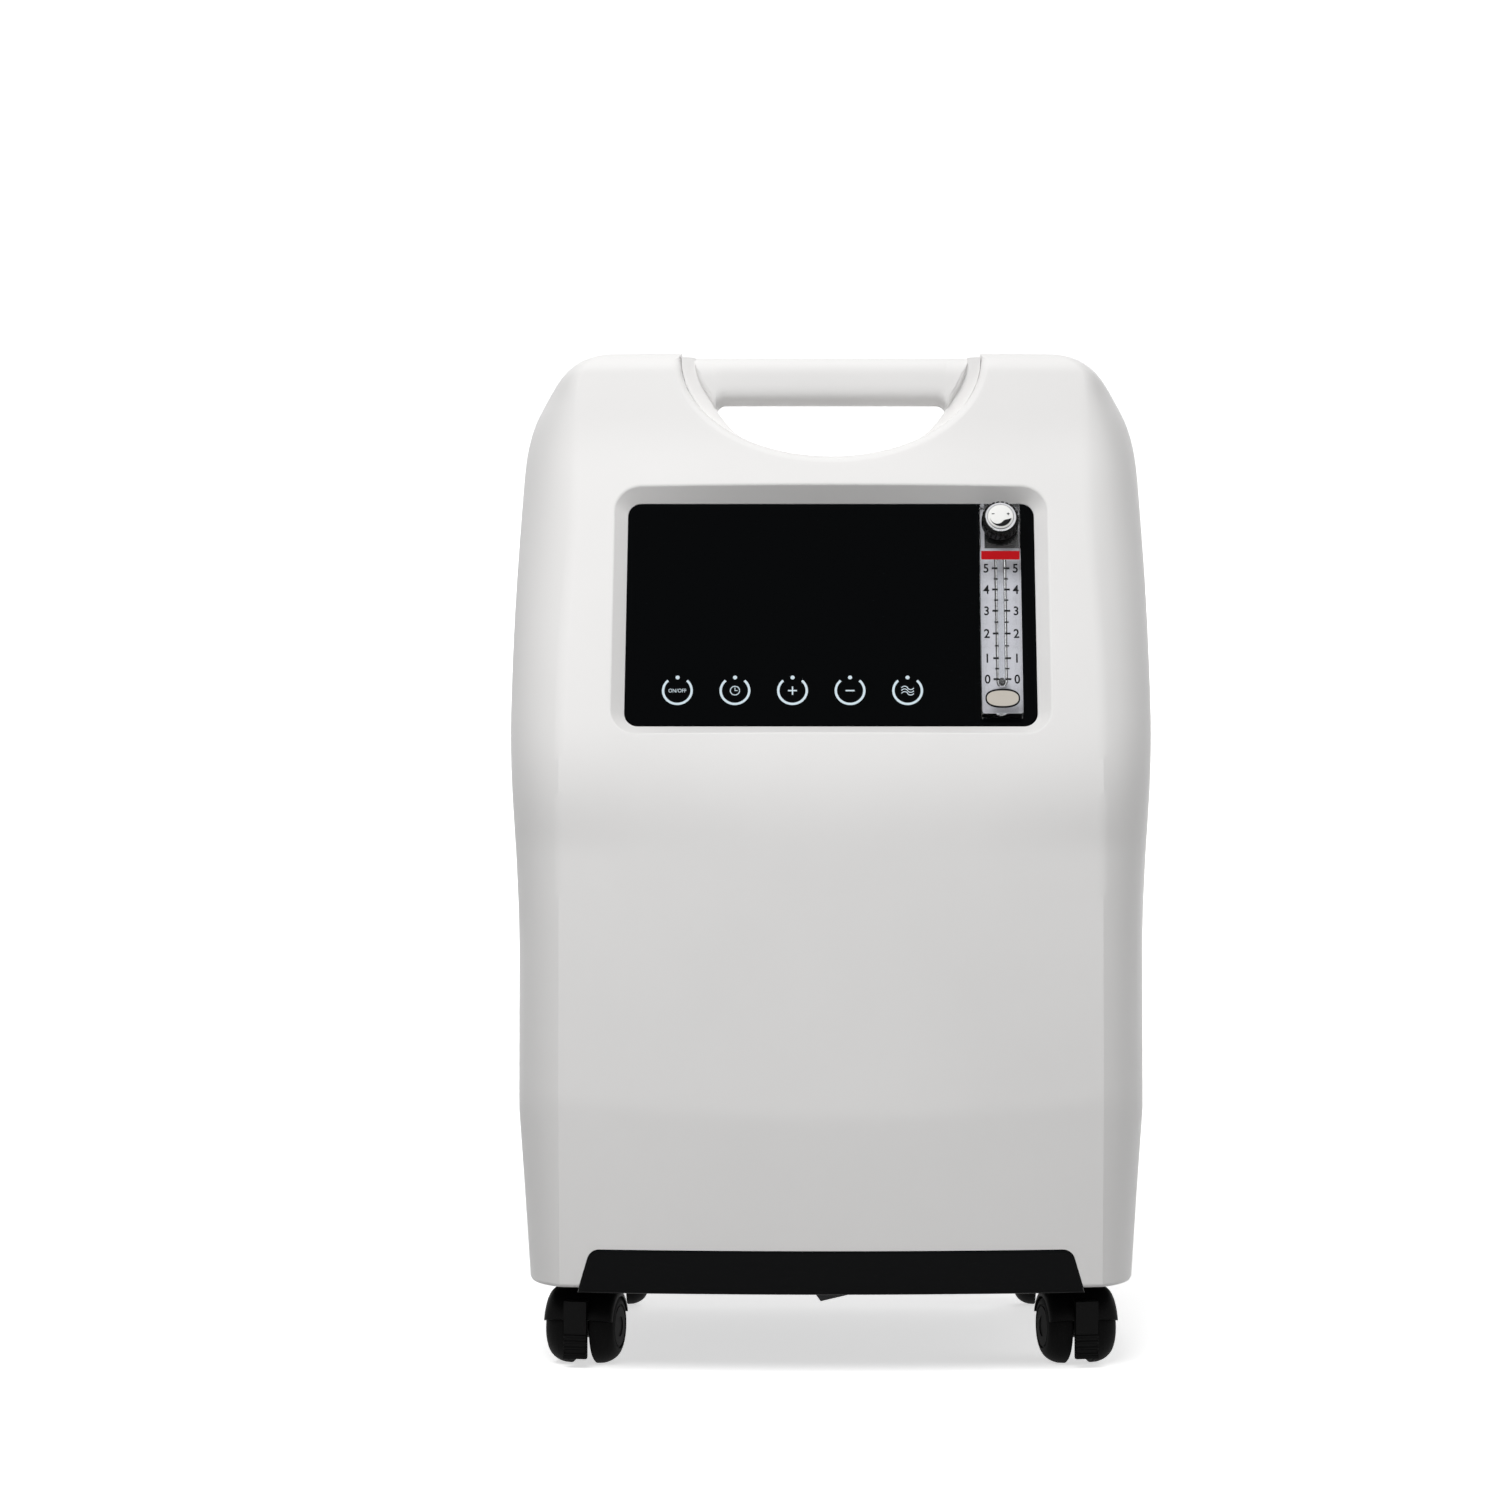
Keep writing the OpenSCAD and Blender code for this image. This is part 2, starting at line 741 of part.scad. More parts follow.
module caster_wheels(id) {
    tread = (twin_w - twin_gap) / 2;
    color("#0c0d0e")
    caster_place(id) translate([0, -trail, axle_z]) rotate([0, 90, 0]) {
        translate([0, 0, -twin_w / 2 + 2]) cylinder(d = axle_d, h = twin_w - 4);
        for (side = [0, 1]) mirror([0, 0, side])
            rotate_extrude()
                polygon(concat(
                    [[0, twin_gap / 2], [wheel_d / 2 - 1, twin_gap / 2], [wheel_d / 2, twin_gap / 2 + 1]],
                    [for (i = [0:8]) let(u = i / 8)
                        [wheel_d / 2 - 8 * u ^ 3, twin_gap / 2 + 4 + (tread - 4) * sin(90 * u)]],
                    [[8, twin_gap / 2 + tread], [7, twin_gap / 2 + tread - 2],
                     [0, twin_gap / 2 + tread - 2]]));
    }
}

// Brake pedal between the two wheels: two cheeks on a pin through the fork's nose.
module caster_pedal(id) {
    pedal_w = twin_gap - 2;
    cheek = (pedal_w - web_t) / 2 - run;
    front = pedal_pin_y - 8;
    color("#101113")
    caster_place(id) {
        for (side = [-1, 1])
            translate([side * (pedal_w - cheek) / 2 - cheek / 2, front, pedal_pin_z - 4])
                cube([cheek, 12, 8]);
        translate([-pedal_w / 2, pedal_pin_y, pedal_pin_z]) rotate([0, 90, 0])
            cylinder(r = pedal_pin_r, h = pedal_w);
        translate([-pedal_w / 2, front, 5]) cube([pedal_w, 3.5, pedal_pin_z - 1]);
        for (row = [0:3])
            translate([-pedal_w / 2, front - 0.8, 7 + 3 * row]) cube([pedal_w, 1, 1.4]);
    }
}

// Folded steel chassis: upright bulkhead, shelf over the compressor and two front legs.
sheet = 1.5;
bulk_y = 30;
bulk_w = 300;
bulk_top = body_h - 160;
shelf_z = 238;
shelf_front = caster_y(-1) - socket_d / 2 - 6;
module chassis() {
    color("#b9bdc0")
    difference() {
        union() {
            translate([-bulk_w / 2, bulk_y, deck]) cube([bulk_w, sheet, bulk_top - deck]);
            translate([-bulk_w / 2, bulk_y, deck]) cube([bulk_w, 22, sheet]);
            translate([-bulk_w / 2, shelf_front, shelf_z]) cube([bulk_w, bulk_y - shelf_front, sheet]);
            for (side = [-1, 1])
                translate([side * (bulk_w / 2 - 8) - 8, shelf_front, deck])
                    cube([16, sheet, shelf_z - deck]);
        }
        translate([0, bulk_y - 1, 140]) rotate([-90, 0, 0]) cylinder(r = 40, h = 5);
        for (x = [-90, 90])
            translate([x, bulk_y - 1, bulk_top - 40]) rotate([-90, 0, 0]) cylinder(r = 9, h = 5);
    }
}

module control_board() {
    board = [104, 1.6, 132];
    post = 6;
    low = bulk_top - board[2] - 10;
    color("darkgreen") {
        translate([-board[0] / 2, bulk_y - post - board[1], low]) cube(board);
        for (sx = [-1, 1], z = [low + post, low + board[2] - post])
            translate([sx * 46, bulk_y, z]) rotate([90, 0, 0]) cylinder(d = 5, h = post);
        translate([-40, bulk_y - post - board[1] - 14, low + 12]) cube([30, 14, 24]);
        translate([8, bulk_y - post - board[1] - 10, low + 52]) cube([26, 10, 40]);
    }
}

module power_supply() {
    color("silver") translate([66, bulk_y + sheet, bulk_top - 234]) cube([70, 34, 110]);
}

module run_capacitor() {
    color("#d9d9d6")
    translate([30, bulk_y + sheet, bulk_top - 178]) rotate([-90, 0, 0]) {
        cylinder(d = 40, h = 72);
        for (x = [-8, 8]) translate([x, 0, 72]) cylinder(d = 5, h = 6);
    }
}

// Twin-head piston compressor on rubber mounts, with a fan at each end of its shaft.
pump_y = -42;
pump_z = 138;
pump_r = 46;
pump_len = 116;
crank_w = 34;
mount_h = 20;
foot_t = 4;
head_x = pump_len / 2 + crank_w / 2;
head_z = pump_z + pump_r + 0.5;
shaft_r = 6;
module compressor_case() {
    color("#a9adb0")
    difference() {
        union() {
            translate([-pump_len / 2, pump_y, pump_z]) rotate([0, 90, 0]) cylinder(r = pump_r, h = pump_len);
            for (i = [-3:3])
                translate([12 * i - 1.5, pump_y, pump_z]) rotate([0, 90, 0]) cylinder(r = pump_r + 4, h = 3);
            for (side = [-1, 1])
                translate([side * head_x - crank_w / 2, pump_y - 34, pump_z - 36])
                    cube([crank_w, 68, head_z - pump_z + 36]);
            translate([-95, pump_y - 52, deck + mount_h]) cube([190, 104, foot_t]);
            for (x = [-42, 30])
                translate([x, pump_y - 30, deck + mount_h + foot_t]) cube([12, 60, 30]);
        }
        translate([-110, pump_y, pump_z]) rotate([0, 90, 0]) cylinder(r = shaft_r + run, h = 220);
    }
}

module compressor_heads() {
    fin_r = 27;
    color("#8f9397")
    for (side = [-1, 1]) translate([side * head_x, pump_y, head_z]) {
        cylinder(r = 22, h = 32);
        for (i = [0:4]) translate([0, 0, 4 + 5 * i]) cylinder(r = fin_r, h = 2);
        translate([-20, -24, 30]) cube([40, 48, 16]);
        translate([0, 24, 38]) rotate([-90, 0, 0]) cylinder(d = 10, h = 10);
    }
}

// One shaft through the case with a bladed rotor on each end.
fan_x = pump_len / 2 + crank_w + 5;
module compressor_fan() {
    color("#d8b21c") {
        translate([-fan_x - 12, pump_y, pump_z]) rotate([0, 90, 0]) cylinder(r = shaft_r, h = 2 * fan_x + 24);
        for (side = [-1, 1]) translate([side * (fan_x + 6), pump_y, pump_z]) rotate([0, 90, 0]) {
            translate([0, 0, -6]) cylinder(r = 14, h = 12);
            for (i = [0:5]) rotate([0, 0, 60 * i])
                translate([12, 0, 0]) rotate([35, 0, 0]) translate([0, -8, -1]) cube([28, 16, 2]);
        }
    }
}

module rubber_mounts() {
    color("#202123")
    for (sx = [-1, 1], sy = [-1, 1])
        translate([sx * 80, pump_y + sy * 40, deck]) {
            cylinder(d = 22, h = 7);
            cylinder(d = 15, h = mount_h);
            translate([0, 0, mount_h - 7]) cylinder(d = 22, h = 7);
        }
}

// Two sieve beds on the shelf, capped at both ends, with the valve manifold across them.
bed_x = 104;
bed_y = -38;
bed_r = 35;
bed_low = shelf_z + sheet;
cap_h = 13;
bed_len = body_h - 410;
bed_top = bed_low + 2 * cap_h + bed_len;
module sieve_beds() {
    color("#c9ccce")
    for (side = [-1, 1]) translate([side * bed_x, bed_y, bed_low + cap_h]) cylinder(r = bed_r, h = bed_len);
}

module sieve_caps() {
    color("#7d8285")
    for (side = [-1, 1], z = [bed_low, bed_top - cap_h]) translate([side * bed_x, bed_y, z]) {
        cylinder(r = bed_r + 3, h = cap_h);
        for (i = [-2:2]) rotate([0, 0, 60 * i + (side > 0 ? 0 : 180)])
            translate([bed_r - 2, 0, 0]) cylinder(r = 3, h = cap_h + (z > bed_low + 1 ? 2 : 0));
    }
}

manifold_h = 20;
manifold_d = 34;
module valve_manifold() {
    color("#b4b8bb")
    difference() {
        translate([-bed_x - 16, bed_y - manifold_d / 2, bed_top])
            cube([2 * bed_x + 32, manifold_d, manifold_h]);
        translate([-bed_x - 17, bed_y, bed_top + 10]) rotate([0, 90, 0]) cylinder(r = 4, h = 2 * bed_x + 34);
    }
}

module solenoids() {
    color("#3b3e42")
    for (i = [-1.5:1:1.5]) translate([30 * i, bed_y, bed_top + manifold_h]) {
        cylinder(r = 11, h = 22);
        cylinder(r = 4, h = 28);
        translate([-8, -15, 4]) cube([16, 6, 12]);
    }
}

tank_x = -118;
tank_y = 90;
tank_r = 33;
tank_h = 230;
module product_tank() {
    color("#c5c8ca")
    translate([tank_x, tank_y, deck]) {
        cylinder(r = tank_r, h = tank_h - 8);
        translate([0, 0, tank_h - 8]) cylinder(r = tank_r - 6, h = 8);
        cylinder(r = tank_r + 2, h = 6);
    }
}

module regulator() {
    color("goldenrod")
    translate([tank_x, tank_y, deck + tank_h]) {
        cylinder(r = 9, h = 10);
        translate([-14, -14, 10]) cube([28, 28, 18]);
        translate([0, 0, 28]) cylinder(r = 11, h = 16);
    }
}

// Round filter on the bulkhead's back, at the end of the tube from the regulator.
filter_disc_x = -38;
filter_disc_z = bulk_top - 118;
module bacteria_filter() {
    color("#e8e8e4")
    translate([filter_disc_x, bulk_y + sheet, filter_disc_z]) rotate([-90, 0, 0]) {
        cylinder(r = 6, h = 12);
        translate([0, 0, 12]) cylinder(r = 21, h = 14);
        translate([0, 0, 26]) cylinder(r = 4, h = 12);
    }
}

// Serpentine cooling coil held by two plates on the fan frame.
coil_y = back_y - wall - fan_t - 24;
module heat_exchanger() {
    tube_r = 4;
    pitch = 20;
    half = 44;
    rows = 5;
    color("#c98f5e") {
        for (i = [0:rows - 1]) translate([-half, coil_y, fan_z - 40 + pitch * i])
            rotate([0, 90, 0]) cylinder(r = tube_r, h = 2 * half);
        for (i = [0:rows - 2]) translate([i % 2 == 0 ? half : -half, coil_y, fan_z - 30 + pitch * i])
            rotate([90, 0, 0]) rotate([0, 0, i % 2 == 0 ? -90 : 90])
                rotate_extrude(angle = 180) translate([pitch / 2, 0]) circle(r = tube_r, $fn = 24);
        for (side = [-1, 1])
            translate([side * (half - 4) - 1, coil_y - 10, fan_z - 50]) cube([2, 34, 100]);
    }
}

fan_y = back_y - wall - fan_t;
module fan_frame() {
    color("#1b1c1e")
    translate([0, fan_y, fan_z]) {
        difference() {
            translate([-fan_w / 2, 0, -fan_w / 2]) cube([fan_w, fan_t, fan_w]);
            translate([0, -1, 0]) rotate([-90, 0, 0]) cylinder(d = fan_bore, h = fan_t + 2);
        }
        rotate([-90, 0, 0]) cylinder(r = 16, h = 3);
        for (a = [0:90:270]) rotate([0, a + 45, 0]) translate([12, 0.4, -2.5])
            cube([fan_w / 2 - 10, 2.2, 5]);
        rotate([-90, 0, 0]) cylinder(r = 3, h = fan_t - 5);
    }
}

module fan_rotor() {
    blades = 7;
    color("#2b2d30")
    translate([0, fan_y + 4, fan_z]) rotate([-90, 0, 0])
        difference() {
            union() {
                cylinder(r = 19, h = fan_t - 8);
                for (i = [0:blades - 1]) rotate([0, 0, 360 / blades * i])
                    translate([17, 0, (fan_t - 8) / 2]) rotate([38, 0, 0])
                        translate([0, -10, -0.8]) cube([fan_bore / 2 - 19, 20, 1.6]);
            }
            translate([0, 0, -1]) cylinder(r = 3 + run, h = fan_t);
        }
}

module intake_silencer() {
    pocket_y = back_y - door_t - foam_t - wall;
    box_d = 56;
    color("#2a2c2e")
    translate([filter_x, pocket_y - box_d, filter_z]) rotate([-90, 0, 0]) difference() {
        linear_extrude(box_d) soft_rect(filter_w, filter_h, 8);
        translate([0, 0, 3]) linear_extrude(box_d) soft_rect(filter_w - 6, filter_h - 6, 5);
    }
}

module exhaust_silencer() {
    color("#2a2c2e")
    translate([108, 84, deck]) {
        cylinder(r = 22, h = 110);
        translate([0, 0, 110]) cylinder(r = 6, h = 12);
    }
}

// Tube along a list of points, with a round elbow at each corner.
module tube_run(points, r) {
    for (i = [0:len(points) - 2]) {
        a = points[i];
        d = points[i + 1] - a;
        translate(a) rotate([0, acos(d[2] / norm(d)), atan2(d[1], d[0])]) cylinder(r = r, h = norm(d));
    }
    for (i = [1:len(points) - 2]) translate(points[i]) sphere(r = r + 0.6);
}

// Gas tubes from the heads to the coil, from the beds to the tank and on to the filter.
module gas_tubes() {
    tank_top = deck + tank_h + 19;
    color("#d5d8da") {
        tube_run([[head_x, pump_y + 34.2, head_z + 38], [head_x, 16, head_z + 38],
                  [20, 16, head_z + 38], [20, 16, 140], [20, coil_y - 4.2, 140]], 4);
        tube_run([[tank_x + 14.2, tank_y, tank_top], [-60, tank_y, tank_top],
                  [-60, 78, tank_top], [filter_disc_x, 78, filter_disc_z],
                  [filter_disc_x, bulk_y + sheet + 38.3, filter_disc_z]], 3.5);
    }
}

module filter_door() {
    color("whitesmoke")
    translate([filter_x, back_y, filter_z]) rotate([90, 0, 0]) difference() {
        linear_extrude(door_t) soft_rect(filter_w - 2 * free, filter_h - 2 * free, 5);
        for (i = [-3:3]) translate([-24, 9 * i - 2, -1]) cube([48, 4, door_t + 2]);
    }
}

module filter_foam() {
    color("#3a3c3e")
    translate([filter_x, back_y - door_t - 0.2, filter_z]) rotate([90, 0, 0])
        linear_extrude(foam_t - 0.4) soft_rect(filter_w - 2 * free, filter_h - 2 * free, 5);
}

// Round exhaust grille of rings and spokes, set in its hole in the rear cover.
module exhaust_grille() {
    grille_t = 3;
    color("#1b1c1e")
    translate([0, back_y, fan_z]) rotate([90, 0, 0]) {
        for (r = [16, 28, 40]) difference() {
            cylinder(r = r, h = grille_t);
            translate([0, 0, -1]) cylinder(r = r - 2.5, h = grille_t + 2);
        }
        difference() {
            cylinder(d = fan_bore - 2 * seat, h = grille_t);
            translate([0, 0, -1]) cylinder(d = fan_bore - 7, h = grille_t + 2);
        }
        cylinder(r = 5, h = grille_t);
        for (a = [0:45:315]) rotate([0, 0, a]) translate([3, -1.5, 0]) cube([fan_bore / 2 - 5, 3, grille_t]);
    }
}

// Three-pin mains inlet with its recess and blades.
module power_inlet() {
    color("#141516")
    translate([inlet_x, back_y, inlet_z]) rotate([90, 0, 0]) difference() {
        union() {
            linear_extrude(26) soft_rect(inlet_w - 2 * seat, inlet_h - 2 * seat, 3);
            translate([0, 0, wall + 0.02]) linear_extrude(2) soft_rect(inlet_w + 8, inlet_h + 6, 3);
        }
        difference() {
            translate([0, 0, -1]) linear_extrude(18) soft_rect(27, 19, 4);
            for (p = [[-7, -2], [7, -2], [0, 3]])
                translate([p[0] - 1, p[1] - 2, 3]) cube([2, 4, 20]);
        }
    }
}

rocker_w = 14;
rocker_h = 23;
module switch_frame() {
    color("#141516")
    translate([inlet_x, back_y, switch_z]) rotate([90, 0, 0]) difference() {
        union() {
            linear_extrude(22) soft_rect(switch_w - 2 * seat, switch_h - 2 * seat, 2);
            translate([0, 0, wall + 0.02]) linear_extrude(2) soft_rect(switch_w + 6, switch_h + 4, 2);
        }
        translate([-rocker_w / 2 - free, -rocker_h / 2 - free, -1])
            cube([rocker_w + 2 * free, rocker_h + 2 * free, 16]);
    }
}

// Rocker with two faces at a small angle, tipping about its pin.
rocker_depth = 7;
module rocker_switch() {
    tip = 8;
    pin = 0.4;
    color("#1e1f21")
    translate([inlet_x - rocker_w / 2, back_y - rocker_depth, switch_z]) rotate([90, 0, 90]) {
        translate([0, 0, -pin]) cylinder(r = 1.5, h = rocker_w + 2 * pin);
        linear_extrude(rocker_w)
            polygon([[-4, -3], [-4, 3], [4.4, rocker_h / 2 - 0.6], [5.8, rocker_h / 2 - 1],
                     [5.8 - rocker_h / 2 * tan(tip), 0], [5.8, -rocker_h / 2 + 1],
                     [4.4, -rocker_h / 2 + 0.6]]);
    }
}

module breaker_body() {
    color("#141516")
    translate([inlet_x, back_y, breaker_z]) rotate([90, 0, 0]) difference() {
        union() {
            cylinder(d = breaker_d - 2 * seat, h = 24);
            translate([0, 0, wall + 0.02]) cylinder(d = breaker_d + 6, h = 3);
        }
        translate([0, 0, -1]) cylinder(d = 9, h = 15);
    }
}

module reset_button() {
    color("#b3202a")
    translate([inlet_x, back_y - 1, breaker_z]) rotate([90, 0, 0]) cylinder(d = 9 - 2 * run, h = 9);
}

// Barbed gas outlet on the floor of its cup, with the nut behind the wall.
barb_r = 3.25;
barb_len = 13;
module outlet(side) {
    floor_y = back_y - cup_depth;
    translate([side * outlet_x, floor_y, outlet_z]) rotate([-90, 0, 0]) {
        cylinder(d = 16, h = 3);
        cylinder(r = barb_r, h = 3 + barb_len);
        translate([0, 0, -wall - 6]) cylinder(d = 11.6, h = wall + 7);
        translate([0, 0, -wall - 5.02]) cylinder(d = 17, h = 5, $fn = 6);
    }
}
module oxygen_outlet() { color("#7fae4c") outlet(1); }
module nebuliser_outlet() { color("#d0d3d5") outlet(-1); }

// Humidifier: jar in its niche, screwed lid with dip tube and outlet, swivel nut on top.
lid_h = 18;
lid_z = niche_z + jar_h;
module humidifier_jar() {
    color("#cfe0ea", 0.5)
    translate([0, jar_y, niche_z]) difference() {
        union() {
            cylinder(d = jar_d - 4, h = 4);
            translate([0, 0, 3]) cylinder(d = jar_d, h = jar_h - 15);
            cylinder(d = jar_d - 6, h = jar_h);
        }
        translate([0, 0, 2.5]) cylinder(d = jar_d - 2 * jar_wall - 6, h = jar_h);
    }
}

module humidifier_lid() {
    tube_low = 12;
    color("#e9ecee")
    translate([0, jar_y, lid_z]) {
        difference() {
            translate([0, 0, -11]) cylinder(d = jar_d - 1, h = lid_h + 5);
            translate([0, 0, -12]) cylinder(d = jar_d - 6 + 2 * seat, h = 12);
            for (i = [0:35]) rotate([0, 0, 10 * i])
                translate([jar_d / 2, 0, -12]) cylinder(r = 1.1, h = lid_h + 8, $fn = 12);
        }
        cylinder(d = jar_d - 2 * jar_wall - 10, h = lid_h - 8);
        translate([0, 0, 10]) cylinder(r = 5, h = 26);
        translate([0, 0, -jar_h + tube_low]) cylinder(r = 3, h = jar_h);
        translate([0, 0, -jar_h + tube_low - 6]) cylinder(r = 6, h = 14);
        translate([-25, 0, 10]) cylinder(r = 5, h = 10);
        translate([-25, 0, 16]) rotate([0, -90, 0]) cylinder(r = 3, h = 20);
    }
}

module humidifier_nut() {
    color("#4c9a63")
    translate([0, jar_y, lid_z + lid_h]) difference() {
        cylinder(r = 12, h = 15);
        translate([0, 0, -1]) cylinder(r = 5 + run, h = 20);
        for (i = [0:11]) rotate([0, 0, 30 * i]) translate([12.6, 0, -1]) cylinder(r = 1.6, h = 20, $fn = 16);
    }
}

module cover_screws() {
    color("silver") screw_shapes(0);
}

front_cover();
rear_cover();
carry_handle();
scoop_plate();
display_panel();
touch_board();
flowmeter_block();
float_ball();
valve_stem();
flow_knob();
knob_cap();
meter_fittings();
base_tray();
base_apron();
base_block();
caster_fork("fl");  // caster_fl_fork
caster_wheels("fl");  // caster_fl_wheels
caster_pedal("fl");  // caster_fl_pedal
caster_fork("fr");  // caster_fr_fork
caster_wheels("fr");  // caster_fr_wheels
caster_pedal("fr");  // caster_fr_pedal
caster_fork("rl");  // caster_rl_fork
caster_wheels("rl");  // caster_rl_wheels
caster_fork("rr");  // caster_rr_fork
caster_wheels("rr");  // caster_rr_wheels
chassis();
control_board();
power_supply();
run_capacitor();
compressor_case();
compressor_heads();
compressor_fan();
rubber_mounts();
sieve_beds();
sieve_caps();
valve_manifold();
solenoids();
product_tank();
regulator();
bacteria_filter();
heat_exchanger();
fan_frame();
fan_rotor();
intake_silencer();
exhaust_silencer();
gas_tubes();
filter_door();
filter_foam();
exhaust_grille();
power_inlet();
rocker_switch();
switch_frame();
breaker_body();
reset_button();
oxygen_outlet();
nebuliser_outlet();
humidifier_jar();
humidifier_lid();
humidifier_nut();
cover_screws();
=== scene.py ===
"""Floor-standing oxygen concentrator, dressed around its packed assembly frame.

The machine stands on the floor at the origin, its leaning control panel faces -Y, and
every measure below is in metres unless its name says mm or deg.
"""
import math

import bmesh
import bpy
import numpy as np
from mathutils import Matrix, Vector


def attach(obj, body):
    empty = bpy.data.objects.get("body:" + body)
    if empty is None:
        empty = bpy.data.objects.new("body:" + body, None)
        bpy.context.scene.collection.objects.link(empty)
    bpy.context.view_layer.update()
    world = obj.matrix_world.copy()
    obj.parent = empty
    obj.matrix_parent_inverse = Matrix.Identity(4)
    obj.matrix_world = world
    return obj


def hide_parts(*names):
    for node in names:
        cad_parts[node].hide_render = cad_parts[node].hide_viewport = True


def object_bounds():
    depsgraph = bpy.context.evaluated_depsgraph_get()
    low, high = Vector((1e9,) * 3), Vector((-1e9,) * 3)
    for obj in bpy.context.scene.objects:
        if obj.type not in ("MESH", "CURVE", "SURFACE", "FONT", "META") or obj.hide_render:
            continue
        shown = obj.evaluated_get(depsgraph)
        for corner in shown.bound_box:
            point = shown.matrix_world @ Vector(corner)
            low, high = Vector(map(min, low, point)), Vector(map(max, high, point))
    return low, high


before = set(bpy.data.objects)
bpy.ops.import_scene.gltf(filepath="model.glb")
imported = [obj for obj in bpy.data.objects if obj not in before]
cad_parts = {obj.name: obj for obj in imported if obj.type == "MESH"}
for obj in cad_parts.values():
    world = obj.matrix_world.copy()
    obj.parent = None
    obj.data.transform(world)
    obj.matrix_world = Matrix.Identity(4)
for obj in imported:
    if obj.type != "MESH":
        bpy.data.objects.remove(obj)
cad_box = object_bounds()


# ---------------------------------------------------------------------------------------
# Camera: a level look at the front from about two metres, at a third of a metre's height,
# with the lens shifted so that the machine stands right of the middle of the frame.
def linked(name, data):
    """New object around a mesh, lamp, camera or text, linked into the scene."""
    made = bpy.data.objects.new(name, data)
    bpy.context.scene.collection.objects.link(made)
    return made


eye_height, eye_distance = 0.324, 2.1
sensor_mm, lens_mm = 36.0, 88.08
shift_across, shift_up = -0.054, 0.0426666667
camera_data = bpy.data.cameras.new("studio_camera")
camera_data.sensor_width = sensor_mm
camera_data.lens = lens_mm
camera_data.shift_x = shift_across
camera_data.shift_y = shift_up
camera_data.clip_end = 30.0
camera = linked("studio_camera", camera_data)
camera.location = (0.0, cad_box[0][1] - eye_distance, eye_height)
camera.rotation_euler = (math.radians(90.0), 0.0, 0.0)
bpy.context.scene.camera = camera
bpy.context.scene.view_settings.view_transform = "Standard"


# ---------------------------------------------------------------------------------------
# Studio: a white paper floor that runs up into a white backdrop, one big soft key light
# from above and in front, a weak fill from the right, a back light, and a pale world.
def hex_linear(code):
    """sRGB hex string to linear RGBA: each channel c becomes ((c + 0.055) / 1.055) ^ 2.4."""
    c = np.array([int(code[i:i + 2], 16) for i in (1, 3, 5)]) / 255.0
    lin = np.where(c <= 0.04045, c / 12.92, ((c + 0.055) / 1.055) ** 2.4)
    return (*[float(v) for v in lin], 1.0)


def add_node(tree, kind, settings=None, links=None):
    """Add one node, set its named inputs or attributes, and link sockets into its inputs."""
    node = tree.nodes.new(kind)
    for key, value in (settings or {}).items():
        if isinstance(key, int) or key in node.inputs:
            node.inputs[key].default_value = value
        else:
            setattr(node, key, value)
    for key, socket in (links or {}).items():
        tree.links.new(socket, node.inputs[key])
    return node


def new_material(name, settings):
    """Material with one Principled shader; returns material, node tree and the shader."""
    material = bpy.data.materials.new(name)
    material.use_nodes = True
    tree = material.node_tree
    shader = tree.nodes["Principled BSDF"]
    for key, value in settings.items():
        shader.inputs[key].default_value = value
    return material, tree, shader


def seen_directly(tree):
    """Socket that is 1 for rays from the camera, a mirror or a clear piece, and 0 for the
    rays that only carry light."""
    path = add_node(tree, "ShaderNodeLightPath")
    seen = path.outputs["Is Camera Ray"]
    for kind in ("Is Glossy Ray", "Is Transmission Ray"):
        seen = add_node(tree, "ShaderNodeMath", {"operation": "MAXIMUM"},
                        {0: seen, 1: path.outputs[kind]}).outputs[0]
    return seen


def studio_floor():
    """Sweep: flat floor, quarter-circle cove of radius r, then a wall; carried along x."""
    r, near, back, tall, wide = 1.2, -4.0, 2.2, 4.0, 6.0
    arc = np.linspace(0.0, math.pi / 2, 24)
    y = np.concatenate([[near, back - r], back - r + r * np.sin(arc)[1:], [back]])
    z = np.concatenate([[0.0, 0.0], r - r * np.cos(arc)[1:], [tall]])
    points = [(x, float(a), float(b)) for x in (-wide, wide) for a, b in zip(y, z)]
    n = len(y)
    faces = [(i, n + i, n + i + 1, i + 1) for i in range(n - 1)]
    mesh = bpy.data.meshes.new("studio_floor")
    mesh.from_pydata(points, [], faces)
    mesh.polygons.foreach_set("use_smooth", [True] * len(faces))
    floor = linked("studio_floor", mesh)
    return floor


floor = studio_floor()
paper, paper_tree, paper_shader = new_material("backdrop_paper", {
    "Roughness": 0.9, "Specular IOR Level": 0.1})
paper_seen = seen_directly(paper_tree)
# The paper looks white, but throws little light back up on the object.
paper_tone = add_node(paper_tree, "ShaderNodeMix", {
    "data_type": "RGBA", 6: hex_linear("#9c9c9c"), 7: hex_linear("#f4f4f4")}, {0: paper_seen})
paper_tree.links.new(paper_tone.outputs[2], paper_shader.inputs["Base Color"])
glow = add_node(paper_tree, "ShaderNodeEmission", {"Color": (1.0, 1.0, 1.0, 1.0)})
